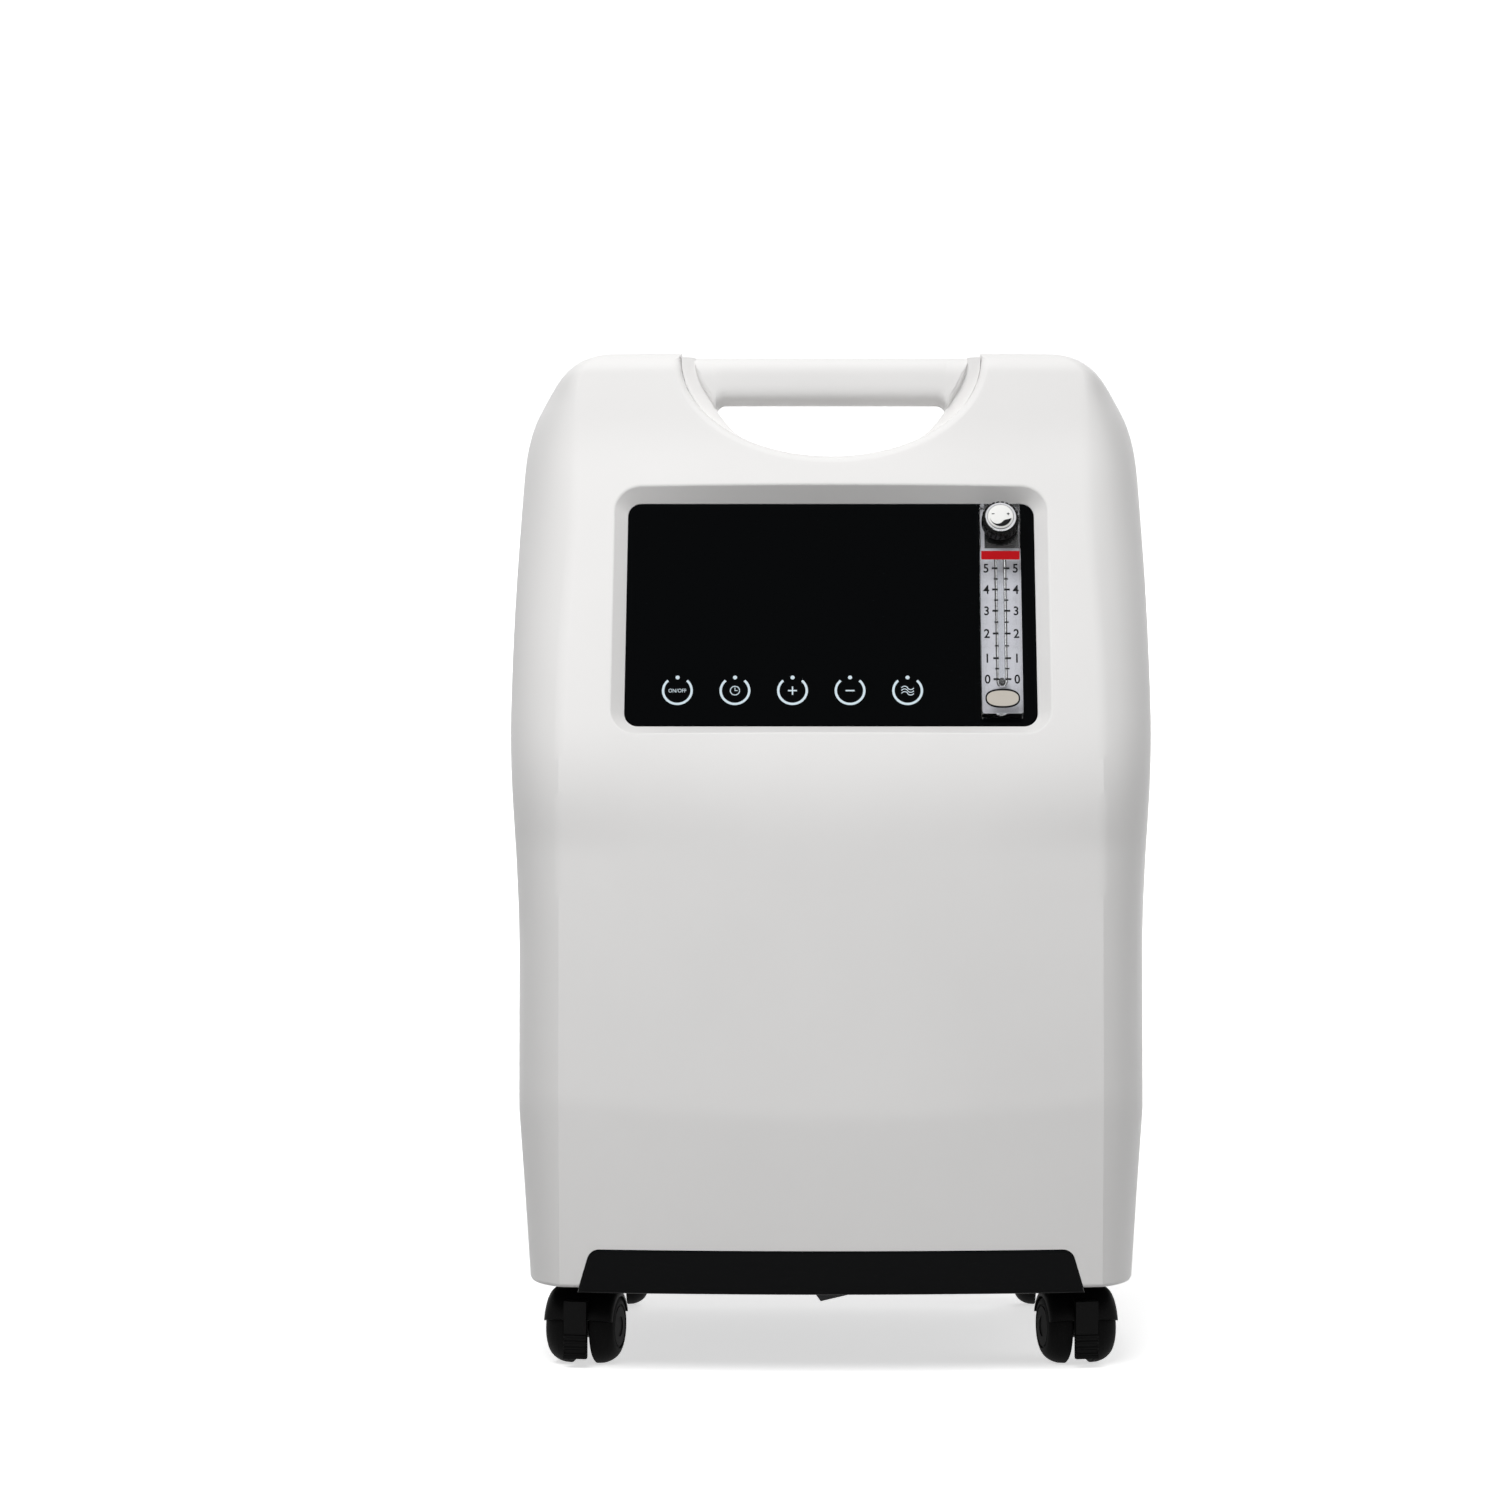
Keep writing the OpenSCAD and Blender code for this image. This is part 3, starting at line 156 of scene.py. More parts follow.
# It glows less round the object, where the lamps light it and a shadow has to show.
from_middle = add_node(paper_tree, "ShaderNodeVectorMath", {"operation": "LENGTH"},
                       {0: add_node(paper_tree, "ShaderNodeTexCoord").outputs["Object"]})
glow_level = add_node(paper_tree, "ShaderNodeMapRange", {
    "From Min": 0.6, "From Max": 1.8, "To Min": 0.63, "To Max": 1.0},
    {"Value": from_middle.outputs["Value"]})
glow_amount = add_node(paper_tree, "ShaderNodeMath", {"operation": "MULTIPLY"},
                       {0: paper_seen, 1: glow_level.outputs[0]})
paper_tree.links.new(glow_amount.outputs[0], glow.inputs["Strength"])
paper_sum = add_node(paper_tree, "ShaderNodeAddShader", {},
                     {0: paper_shader.outputs[0], 1: glow.outputs[0]})
paper_tree.links.new(paper_sum.outputs[0],
                     paper_tree.nodes["Material Output"].inputs["Surface"])
floor.data.materials.append(paper)

world = bpy.data.worlds.new("studio_air")
bpy.context.scene.world = world
world.use_nodes = True
world_tree = world.node_tree
air = world_tree.nodes["Background"]
air.inputs["Color"].default_value = (1.0, 1.0, 1.0, 1.0)
air_level = add_node(world_tree, "ShaderNodeMapRange", {"To Min": 0.10, "To Max": 1.0},
                     {"Value": seen_directly(world_tree)})
world_tree.links.new(air_level.outputs[0], air.inputs["Strength"])


def soft_light(name, place, target, size, watts):
    """Square area lamp at a place, turned to face a target. It lights surfaces, but isn't
    itself seen: not by the camera, in the polished panel or through the clear pieces."""
    data = bpy.data.lights.new(name, "AREA")
    data.shape = "SQUARE"
    data.size = size
    data.energy = watts
    lamp = linked(name, data)
    lamp.location = place
    lamp.rotation_euler = (Vector(target) - Vector(place)).to_track_quat("-Z", "Y").to_euler()
    lamp.visible_camera = lamp.visible_glossy = lamp.visible_transmission = False


soft_light("key_light", (-0.4, -1.5, 1.9), (0.0, -0.1, 0.4), 1.4, 43.0)
soft_light("fill_light", (2.3, -0.45, 0.9), (0.0, 0.0, 0.3), 1.6, 10.0)
soft_light("back_light", (0.5, 1.9, 0.9), (0.0, 0.0, 0.3), 1.2, 16.0)


# ---------------------------------------------------------------------------------------
# Covers: two halves of injection-moulded white ABS with a satin finish, 3 mm thick, that
# meet in a seam round the middle. The outer form is one smooth skin over level rings; it
# is hollowed, cutters with rounded rims open it, and the two halves are cut apart.
body_top, body_low = 0.600, 0.051
half_w, front_y, back_y = 0.190, -0.185, 0.185
wall = 0.003
seam_y, seam_gap = 0.015, 0.0005
top_front_r, top_side_r, top_rear_r = 0.012, 0.006, 0.030
bow_low_r, bow_more_r = 1.10, 1.46
crease_z, crease_sag, crease_reach = 0.150, 0.010, 0.160
wide_z, swell_in, swell_run, foot_taper = 0.65 * body_top, 0.006, 0.150, 0.07
upper_in, upper_run = 0.0030, 0.130
shoulder_in, shoulder_low, shoulder_run, shoulder_power = 0.0315, 0.080, 0.077, 3.2
edge_low_x, edge_in = 0.1575, 0.0055
edge_deg, edge_fade_deg = 30.0, 22.0
flank_depth, flank_least, flank_full, flank_soft = 0.066, 0.010, 0.026, 0.006
foot_r, rear_corner_r = 0.002, 0.035
foot_lean_deg, low_lean_deg, slope_lean_deg, brow_lean_deg = 3.2, 1.5, 19.5, 10.0
bend_from, bend_to = 0.2994, 0.3833
brow_from, brow_to = 0.530, 0.566
panel_z = 0.445
above_top, past_back = 0.68, 0.3


def smooth_step(u):
    """0 below 0, 1 above 1, and 3u^2 - 2u^3 between."""
    c = np.clip(u, 0.0, 1.0)
    return c * c * (3.0 - 2.0 * c)


def edge_drop(z, r):
    """How far a quarter round of radius r at the body's top edge has drawn in at height z."""
    up = np.clip(z - body_top + r, 0.0, r)
    return r - np.sqrt(r * r - up * up)


lean_heights = np.linspace(0.0, 0.66, 1321)
leans = (low_lean_deg
         + (slope_lean_deg - low_lean_deg)
         * smooth_step((lean_heights - bend_from) / (bend_to - bend_from))
         - (slope_lean_deg - brow_lean_deg)
         * smooth_step((lean_heights - brow_from) / (brow_to - brow_from)))
lean_steps = np.tan(np.radians(leans[1:])) * np.diff(lean_heights)
front_run = np.concatenate([[0.0], np.cumsum(lean_steps)])
front_run += front_y - np.interp(crease_z, lean_heights, front_run)


def front_line(z):
    """Y of the front face's middle: the tangent of the lean summed up over the height."""
    return np.interp(z, lean_heights, front_run)


def front_radius(z):
    """Radius of the front face in plan: 1.10 m low down, flatter in the panel zone."""
    return bow_low_r + bow_more_r * smooth_step((z - 0.300) / 0.080)


def front_surface(x, z):
    """Y of the front face at (x, z): middle line plus the arc's chord depth, plus the foot,
    which leans back below a crease that sags in the middle, plus the rounded top edge."""
    r = front_radius(z)
    across = np.clip(np.abs(x), 0.0, 0.175)
    sag = r - np.sqrt(r * r - across * across)
    below = np.maximum(0.0, crease_z + crease_sag * (across / crease_reach) ** 2 - z)
    foot = np.tan(np.radians(foot_lean_deg + low_lean_deg)) * below
    return front_line(z) + sag + foot + edge_drop(z, top_front_r)


def half_width(z):
    """Half width: a slow swell to two thirds of the height, then a fall that steepens."""
    low = half_w - swell_in + swell_in * smooth_step((z - wide_z + swell_run) / swell_run)
    low = low + np.minimum(0.0, z - crease_z) * foot_taper
    over = np.maximum(0.0, (z - body_top + shoulder_low) / shoulder_run)
    high = (half_w - upper_in * ((z - wide_z) / upper_run) ** 2
            - shoulder_in * over ** shoulder_power)
    return np.where(z < wide_z, low, high)


def edge_x(z):
    """Half width at the edge between front and flank, a little narrower towards the top."""
    return edge_low_x - edge_in * smooth_step((z - 0.400) / 0.120)


def shares(n):
    """Even shares from 0 to 1 in n places without the first, as one row."""
    return np.linspace(0.0, 1.0, n)[None, 1:]


def cover_rings(heights, inset=0.0):
    """Rings round the body, shape (heights, places, 3). Half a ring runs along the front
    arc, a flank that is part of an ellipse up to 90 degrees, the straight side, the rear
    corner's quarter circle and the back; the other half is its mirror image. The ellipse
    starts at 30 degrees, a clear edge, and at 8 near the top, where the edge fades. Its
    width runs smoothly from the room beside the edge into the least width."""
    z = heights[:, None]
    level = z + inset * smooth_step((z - 0.500) / 0.080)
    foot_round = np.clip(body_low + foot_r - z, 0.0, foot_r) ** 2 / (2 * foot_r)
    w = half_width(level) - edge_drop(level, top_side_r) - foot_round - inset
    spare = w - edge_x(level) + 0.6 * inset - flank_least
    flank = flank_least + (spare + np.sqrt(spare * spare + flank_soft ** 2)) / 2
    x_front = (w - flank) * np.linspace(0.0, 1.0, 44)[None, :]
    y_front = front_surface(x_front, level) + foot_round + 1.03 * inset
    start = np.radians(edge_deg - edge_fade_deg * smooth_step((level - 0.430) / 0.130))
    turn = start + (math.pi / 2 - start) * shares(18)
    x_flank = w - flank * (1.0 - np.sin(turn)) / (1.0 - np.sin(start))
    back_run = flank_depth * smooth_step(flank / flank_full)
    y_flank = y_front[:, -1:] + back_run * (np.cos(start) - np.cos(turn))
    corner = rear_corner_r - inset
    rear = back_y - edge_drop(level, top_rear_r) - foot_round - inset
    y_side = y_flank[:, -1:] * (1.0 - shares(12)) + (rear - corner) * shares(12)
    x_side = w + 0.0 * y_side
    turn = np.radians(np.linspace(0.0, 90.0, 13))[None, 1:]
    x_corner = w - corner * (1.0 - np.cos(turn))
    y_corner = rear - corner * (1.0 - np.sin(turn))
    x_rear = x_corner[:, -1:] * np.linspace(1.0, 0.0, 16)[None, 1:]
    y_rear = rear + 0.0 * x_rear
    x = np.concatenate([x_front, x_flank, x_side, x_corner, x_rear], 1)
    y = np.concatenate([y_front, y_flank, y_side, y_corner, y_rear], 1)
    x = np.concatenate([x, -x[:, -2:0:-1]], 1)
    y = np.concatenate([y, y[:, -2:0:-1]], 1)
    return np.stack([x, y, np.broadcast_to(z, x.shape)], 2)


def skin_object(name, rings):
    """Closed object skinned over rings (rows, places, 3): quads between neighbouring rows,
    places joined round, one flat face on each end, all turned to face outwards."""
    rings = np.asarray(rings)
    rows, places = rings.shape[:2]
    i, j = np.meshgrid(np.arange(rows - 1) * places, np.arange(places), indexing="ij")
    k = (j + 1) % places
    quads = np.stack([i + j, i + k, i + places + k, i + places + j], 2)
    faces = quads.reshape(-1, 4).tolist()
    faces.append(list(range(places - 1, -1, -1)))
    faces.append(list(range((rows - 1) * places, rows * places)))
    mesh = bpy.data.meshes.new(name)
    mesh.from_pydata(rings.reshape(-1, 3).tolist(), [], faces)
    shell = bmesh.new()
    shell.from_mesh(mesh)
    if shell.calc_volume(signed=True) < 0.0:
        bmesh.ops.reverse_faces(shell, faces=shell.faces)
    shell.to_mesh(mesh)
    shell.free()
    mesh.polygons.foreach_set("use_smooth", [True] * len(faces))
    return linked(name, mesh)


def applied_mesh(piece):
    """New mesh of an object with its modifiers, or its text, worked out."""
    graph = bpy.context.evaluated_depsgraph_get()
    return bpy.data.meshes.new_from_object(piece.evaluated_get(graph))


def cut(piece, tools, operation="DIFFERENCE"):
    """Cut the piece with each tool in turn; the tools are used up."""
    for tool in tools:
        step = piece.modifiers.new("cut", "BOOLEAN")
        step.solver = "MANIFOLD"
        step.operation = operation
        step.object = tool
        bpy.context.view_layer.update()
        done = applied_mesh(piece)
        piece.modifiers.clear()
        piece.data = done
        bpy.data.objects.remove(tool)


def top_view(outline, z):
    """Outline given in (x, y), put at height z."""
    return np.column_stack([outline, np.full(len(outline), z)])


def front_view(outline, y):
    """Outline given in (x, z), put at depth y."""
    return np.stack([outline[:, 0], np.full(len(outline), y), outline[:, 1]], 1)


def side_view(outline, x):
    """Outline given in (y, z), put at x across."""
    return np.column_stack([np.full(len(outline), x), outline])


def box_tool(name, low, high):
    """Box between two corners, as two rings of four."""
    base = np.array([low[:2], (high[0], low[1]), high[:2], (low[0], high[1])])
    return skin_object(name, [top_view(base, z) for z in (low[2], high[2])])


def front_prism(name, outline, y0, y1):
    """Outline in (x, z) carried from y0 back to y1."""
    return skin_object(name, [front_view(outline, y) for y in (y0, y1)])


rim_run = 0.006


def rim_profile(radius, depth, clear=0.030):
    """Rows (distance inside the surface, growth of the hole) for a hole with a rounded rim:
    from the hole's depth up a straight wall, round a quarter circle to 80 degrees, and on
    along its tangent into the open air."""
    turn = np.radians(np.linspace(0.0, 80.0, 8))
    inside = np.concatenate([[depth], radius * (1.0 - np.sin(turn))])
    growth = np.concatenate([[0.0], radius * (1.0 - np.cos(turn))])
    inside = np.append(inside, [inside[-1] - rim_run * math.cos(turn[-1]), -clear])
    growth = np.append(growth, [growth[-1] + rim_run * math.sin(turn[-1])] * 2)
    return inside, growth


scoop_a, scoop_b, scoop_z, scoop_rim = 0.0895, 0.0585, 0.595, 0.005


def valley_arc(grow, turn):
    """Points (x, z) of the valley's ellipse, grown by a distance."""
    return np.stack([(scoop_a + grow) * np.cos(turn),
                     scoop_z + (scoop_b + grow) * np.sin(turn)], 1)


def valley_outline(grow, top):
    """Lower half of the valley's ellipse in (x, z), closed straight up to a height."""
    arc = valley_arc(grow, np.radians(np.linspace(180.0, 360.0, 61)))
    return np.concatenate([arc, [[arc[-1, 0], top], [arc[0, 0], top]]])


def scoop_tool(name, grown=0.0):
    """Valley through the top: half an ellipse carried from front to back, whose rim is
    rounded where it meets the front face and the back."""
    inside, growth = np.array([0.1, -0.03]), np.array([0.0, 0.0])
    if not grown:
        inside, growth = rim_profile(scoop_rim, 0.1)

    def row(reach, grow):
        """One outline of the valley, grown, with its y given by a function of (x, z)."""
        x, z = valley_outline(grown + grow, above_top).T
        return x, reach(x, z), z

    def rear_reach(z, s):
        """Y at a distance s inside the back, which draws in at its top edge."""
        return back_y - edge_drop(np.minimum(z, body_top), top_rear_r) - s

    front = [row(lambda x, z: front_surface(x, z) + s, g) for s, g in zip(inside, growth)]
    rear = [row(lambda x, z: rear_reach(z, s), g) for s, g in zip(inside, growth)]
    rings = np.array(front[::-1] + rear).transpose(0, 2, 1)
    return skin_object(name, rings[::-1])


def soft_outline(w, h, r, corner_steps=9):
    """Rounded rectangle about the origin, anticlockwise, shape (points, 2)."""
    turn = np.radians(np.linspace(0.0, 90.0, corner_steps))
    x, y = w / 2 - r, h / 2 - r
    corners = ((x, y, 0.0), (-w / 2 + r, y, math.pi / 2),
               (-w / 2 + r, -h / 2 + r, math.pi), (x, -h / 2 + r, 1.5 * math.pi))
    return np.concatenate([np.stack([cx + r * np.cos(turn + a), cy + r * np.sin(turn + a)], 1)
                           for cx, cy, a in corners])


panel_w, panel_h, panel_t, panel_sink, panel_r = 0.240, 0.141, 0.004, 0.011, 0.008
panel_lean = math.radians(slope_lean_deg)
panel_origin = np.array([0.0, float(front_line(panel_z)), panel_z])
panel_up = np.array([0.0, math.sin(panel_lean), math.cos(panel_lean)])
panel_out = np.array([0.0, -math.cos(panel_lean), math.sin(panel_lean)])


def on_panel(x, y, out):
    """Points given across, up the slope and out of it, turned into the shared frame."""
    x, y, out = np.broadcast_arrays(x, y, out)
    return (panel_origin + x[..., None] * np.array([1.0, 0.0, 0.0])
            + y[..., None] * panel_up + out[..., None] * panel_out)


def panel_sag(x):
    """How far the front surface falls behind the panel's plane, x from the middle."""
    r = float(front_radius(panel_z))
    return (r - np.sqrt(r * r - x * x)) * math.cos(panel_lean)


def split_sides(loop, corner_steps):
    """A rounded rectangle whose four straight sides are split into 24, so that they can
    follow a curved surface."""
    ahead = np.roll(loop, -1, 0)
    last = np.arange(len(loop)) % corner_steps == corner_steps - 1
    return np.concatenate([
        start + (end - start) * np.linspace(0.0, 1.0, 24 if side else 1, endpoint=False)[:, None]
        for start, end, side in zip(loop, ahead, last)])


def recess_tool(name):
    """Recess round the panel: loops of a rounded rectangle, from its seat up the bevelled
    frame, round a small rim and out along the rim's tangent. Each row is a growth of the
    loop and a depth, which is scaled so that the bevel's foot lies in the panel's plane."""
    bevel, rim, seat = 0.008, 0.0022, 0.00015
    slope = math.atan2(panel_sink, bevel)
    back = rim * math.tan(slope / 2)
    turn = np.linspace(slope, math.radians(8.0), 7)
    growth = bevel - back * math.cos(slope) + rim * (math.sin(slope) - np.sin(turn))
    depth = back * math.sin(slope) - rim * (np.cos(turn) - math.cos(slope))
    growth = np.concatenate([[seat, seat], growth,
                             [growth[-1] + rim_run * math.cos(turn[-1])] * 2])
    depth = np.concatenate([[panel_sink + panel_t, panel_sink], depth,
                            [depth[-1] - rim_run * math.sin(turn[-1]), -0.030]])
    rings = []
    for g, d in zip(growth, depth):
        loop = split_sides(soft_outline(panel_w + 2 * g, panel_h + 2 * g, panel_r + g, 13), 13)
        fall = panel_sag(np.clip(loop[:, 0], -0.15, 0.15))
        kept = np.where(d > 0, 1.0 - fall / panel_sink, 1.0)
        out = np.where(d > panel_sink, -d, -fall - d * kept)
        rings.append(on_panel(loop[:, 0], loop[:, 1], out))
    return skin_object(name, rings)


niche_w, niche_floor, niche_front, niche_r = 0.128, 0.366, 0.089, 0.014


def niche_tool(name, grown=0.0):
    """Niche for the humidifier, open upwards and to the back: U-shaped front views, the
    first ones growing along the rounded rim, the last ones drawn in round the corners."""
    foot, top = 0.004, 0.640
    turn = np.radians(np.linspace(180.0, 270.0, 8))

    def niche_view(y, g, narrow=0.0):
        """U-shaped outline at depth y, grown by g, with its sides drawn in by narrow."""
        half, low = niche_w / 2 + g - narrow, niche_floor - g
        x = np.concatenate([-half + foot + foot * np.cos(turn),
                            half - foot - foot * np.cos(turn)[::-1], [half, -half]])
        z = np.concatenate([low + foot + foot * np.sin(turn),
                            low + foot + foot * np.sin(turn)[::-1], [top, top]])
        return front_view(np.stack([x, z], 1), y)

    inside, growth = rim_profile(0.002, 0.080, 0.020)
    rows = [niche_view(back_y - s, grown + (0.0 if grown else g))
            for s, g in zip(inside[::-1], growth[::-1])]
    r = niche_r + grown
    rows += [niche_view(niche_front - grown + r * (1.0 - math.sin(a)), grown,
                        r * (1.0 - math.cos(a)))
             for a in np.radians(np.linspace(0.0, 84.0, 8))]
    return skin_object(name, rows)


def back_tool(name, outline, depth, rim=0.0008):
    """Hole from the back: an outline in (x, z), given as a function of its growth, carried
    inwards to a depth, with a rounded rim."""
    inside, growth = rim_profile(rim, depth, 0.010)
    return skin_object(name, [front_view(outline(g), back_y - s)
                              for s, g in zip(inside, growth)])


def circle_at(x, z, r, steps=48):
    """Outline of a circle, as a function of its growth."""
    turn = np.linspace(0.0, 2 * math.pi, steps, endpoint=False)
    return lambda g: np.stack([x + (r + g) * np.cos(turn), z + (r + g) * np.sin(turn)], 1)


def pad_at(x, z, w, h, r):
    """Outline of a rounded rectangle, as a function of its growth."""
    return lambda g: soft_outline(w + 2 * g, h + 2 * g, r + g, 7) + np.array([x, z])


apron_top_x, apron_low_x, apron_low, apron_top = 0.1405, 0.1480, 0.048, 0.073


def apron_outline(g, corner=0.007):
    """Trapezoid with round upper corners in (x, z), grown by g: the corner's arc spans from
    the level top edge to the slanting side."""
    slant = math.atan2(apron_low_x - apron_top_x, apron_top - apron_low)
    turn = np.linspace(slant, math.pi / 2, 9)
    r = corner + g
    x = apron_top_x - corner + r * np.cos(turn)
    z = apron_top - corner + r * np.sin(turn)
    foot_x = x[0] + (z[0] - apron_low + g) * math.tan(slant)
    x = np.concatenate([[foot_x], x, -x[::-1], [-foot_x]])
    z = np.concatenate([[apron_low - g], z, z[::-1], [apron_low - g]])
    return np.stack([x, z], 1)


def panel_tool(name, w, h, r, outs, at=(0.0, 0.0)):
    """Rounded rectangle square to the panel's plane, between two levels out of it."""
    x, y = soft_outline(w, h, r).T + np.array([[at[0]], [at[1]]])
    return skin_object(name, [on_panel(x, y, out) for out in outs])


outlet_x, outlet_z = 0.115, 0.505
cup_r, cup_deep, outlet_hole_r = 0.020, 0.018, 0.006
filter_x, filter_z, filter_w, filter_h, filter_deep = -0.115, 0.425, 0.066, 0.078, 0.014
fan_z, fan_bore = 0.140, 0.112
inlet_x, inlet_z, switch_z, breaker_z = 0.128, 0.096, 0.150, 0.198
vent_x, vent_z, vent_pitch = -0.120, 0.092, 0.012
screw_x, screw_z = 0.060, 0.060
meter_x, meter_w, meter_h = 0.0995, 0.0238, 0.1327
meter_y = panel_h / 2 - 0.0032 - meter_h / 2

heights = np.concatenate([
    body_low + foot_r * (1.0 - np.cos(np.radians([0.0, 35.0, 60.0, 80.0, 90.0]))),
    np.linspace(0.055, 0.570, 130),
    0.570 + 0.030 * np.sin(np.radians(np.linspace(4.0, 90.0, 22)))])
inner_heights = np.concatenate([
    np.linspace(body_low - 0.010, 0.567, 60),
    0.567 + 0.030 * np.sin(np.radians(np.linspace(8.0, 90.0, 12)))])
covers = skin_object("covers", cover_rings(heights))
core = skin_object("core", cover_rings(inner_heights, wall))
tray_grow = 0.008 + wall
cut(core, [
    scoop_tool("scoop_wall", wall), niche_tool("niche_wall", wall),
    panel_tool("panel_tray", panel_w + 2 * tray_grow, panel_h + 2 * tray_grow,
               panel_r + tray_grow, (0.020, -panel_sink - panel_t - wall)),
    back_tool("cup_wall", circle_at(outlet_x, outlet_z, cup_r + wall), cup_deep + wall),
    back_tool("cup_wall", circle_at(-outlet_x, outlet_z, cup_r + wall), cup_deep + wall),
    back_tool("filter_wall", pad_at(filter_x, filter_z, filter_w + 2 * wall,
                                    filter_h + 2 * wall, 0.008), filter_deep + wall)])
behind_panel = (-0.012, -0.024)
cut(covers, [
    core, scoop_tool("scoop"), niche_tool("niche"), recess_tool("recess"),
    panel_tool("window", panel_w - 0.012, panel_h - 0.012, 0.003, behind_panel),
    panel_tool("slot", meter_w + 0.0006, meter_h + 0.0006, 0.0005, behind_panel,
               (meter_x, meter_y)),
    front_prism("apron_room", apron_outline(0.0003), front_y - 0.02, front_y + 0.06)])
# Holes in the back: both outlets' cups and holes, the filter's pocket, the fan, the mains
# inlet, the switch and the breaker, each with its depth and the radius of its rim.
cut(covers, [back_tool("back_hole", outline, depth, rim) for outline, depth, rim in (
    (circle_at(outlet_x, outlet_z, cup_r), cup_deep, 0.0015),
    (circle_at(-outlet_x, outlet_z, cup_r), cup_deep, 0.0015),
    (circle_at(outlet_x, outlet_z, outlet_hole_r), 0.030, 0.0002),
    (circle_at(-outlet_x, outlet_z, outlet_hole_r), 0.030, 0.0002),
    (pad_at(filter_x, filter_z, filter_w, filter_h, 0.005), filter_deep, 0.0008),
    (circle_at(0.0, fan_z, fan_bore / 2, 72), 0.010, 0.0008),
    (pad_at(inlet_x, inlet_z, 0.048, 0.028, 0.003), 0.010, 0.0004),
    (pad_at(inlet_x, switch_z, 0.022, 0.031, 0.002), 0.010, 0.0004),
    (circle_at(inlet_x, breaker_z, 0.008), 0.010, 0.0004))])
cut(covers, [back_tool("vent", pad_at(vent_x, vent_z + vent_pitch * row, 0.060, 0.004, 0.0019),
                       0.010, 0.0005) for row in range(7)])
cut(covers, [box_tool("filter_slot", (filter_x - 0.002 + 0.012 * i, 0.160, filter_z - 0.030),
                      (filter_x + 0.002 + 0.012 * i, 0.1715, filter_z + 0.030))
             for i in range(-2, 3)])
for hole_r, hole_steps, depth, rim in ((0.0037, 32, 0.0017, 0.0004), (0.0018, 24, 0.008, 0.0001)):
    cut(covers, [back_tool("screw_hole", circle_at(side * screw_x, screw_z, hole_r, hole_steps),
                           depth, rim) for side in (-1, 1)])


def dressed(piece, body, material, stands_for=(), sharp_deg=28.0):
    """Finish a new piece: edges sharp above an angle and smooth elsewhere, with normals led
    by the larger faces; its material, the body it rides on and what it stands for."""
    piece.data.polygons.foreach_set("use_smooth", [True] * len(piece.data.polygons))
    piece.data.set_sharp_from_angle(angle=math.radians(sharp_deg))
    weigh = piece.modifiers.new("weigh", "WEIGHTED_NORMAL")
    weigh.keep_sharp = True
    piece.data.materials.clear()
    piece.data.materials.append(material)
    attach(piece, body)
    if stands_for:
        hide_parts(*stands_for)
    return piece


def moulded(name, colour, roughness, grain_mm=0.5, grain=0.10, blotch=0.03, specular=0.5):
    """Injection-moulded plastic: a fine eroded grain as bump, a slight drift of gloss where
    the melt cooled unevenly, and a faint drift of the colour's value."""
    made, tree, shader = new_material(name, {
        "Base Color": hex_linear(colour), "Roughness": roughness,
        "Specular IOR Level": specular})
    place = add_node(tree, "ShaderNodeTexCoord")
    fine = add_node(tree, "ShaderNodeTexNoise", {"Scale": 1000.0 / grain_mm, "Detail": 2.0},
                    {"Vector": place.outputs["Object"]})
    wide = add_node(tree, "ShaderNodeTexNoise", {"Scale": 9.0, "Detail": 2.0},
                    {"Vector": place.outputs["Object"]})
    gloss = add_node(tree, "ShaderNodeMapRange", {
        "From Min": 0.3, "From Max": 0.7, "To Min": roughness - 0.04,
        "To Max": roughness + 0.04}, {"Value": wide.outputs["Fac"]})
    tree.links.new(gloss.outputs["Result"], shader.inputs["Roughness"])
    tint = add_node(tree, "ShaderNodeMapRange", {
        "From Min": 0.3, "From Max": 0.7, "To Min": 1.0 - blotch, "To Max": 1.0},
        {"Value": wide.outputs["Fac"]})
    shade = add_node(tree, "ShaderNodeHueSaturation", {"Color": hex_linear(colour)},
                     {"Value": tint.outputs["Result"]})
    tree.links.new(shade.outputs["Color"], shader.inputs["Base Color"])
    bump = add_node(tree, "ShaderNodeBump", {"Strength": grain, "Distance": 0.0001},
                    {"Height": fine.outputs["Fac"]})
    tree.links.new(bump.outputs["Normal"], shader.inputs["Normal"])
    return made


# ABS with a satin spark-eroded grain: soft highlights, almost neutral white.
white_abs = moulded("moulded_white_abs", "#efeeed", 0.42)
front_cover = linked("front_shell", covers.data.copy())
cut(front_cover, [box_tool("behind_seam", (-past_back, seam_y - seam_gap, 0.0),
                           (past_back, past_back, 0.7))])
covers.name = "rear_shell"
cut(covers, [box_tool("before_seam", (-past_back, -past_back, 0.0),
                      (past_back, seam_y + seam_gap, 0.7))])
dressed(front_cover, "machine", white_abs, ["front_cover"])
dressed(covers, "machine", white_abs, ["rear_cover"])


# ---------------------------------------------------------------------------------------
# Base tray: injection-moulded black ABS plate inside the covers' lower edge, with a rim
# that the screws bite into and a socket for each caster stem.
deck_t, rim_top, tray_fit = 0.004, 0.067, 0.0003
caster_x, caster_y = 0.142, {-1: -0.105, 1: 0.130}
stem_r = 0.0055
black_abs = moulded("moulded_black_abs", "#17181a", 0.55, grain=0.2, specular=0.3)
tray_heights = np.linspace(body_low, rim_top, 6)
base_tray = skin_object("base_tray_shell", cover_rings(tray_heights, wall + tray_fit))
hollow = np.linspace(body_low + deck_t, rim_top + 0.01, 4)
cut(base_tray, [skin_object("tray_hollow", cover_rings(hollow, 2 * wall + tray_fit)),
                front_prism("apron_room", apron_outline(0.0004), front_y - 0.02,
                            front_y + 0.034)])


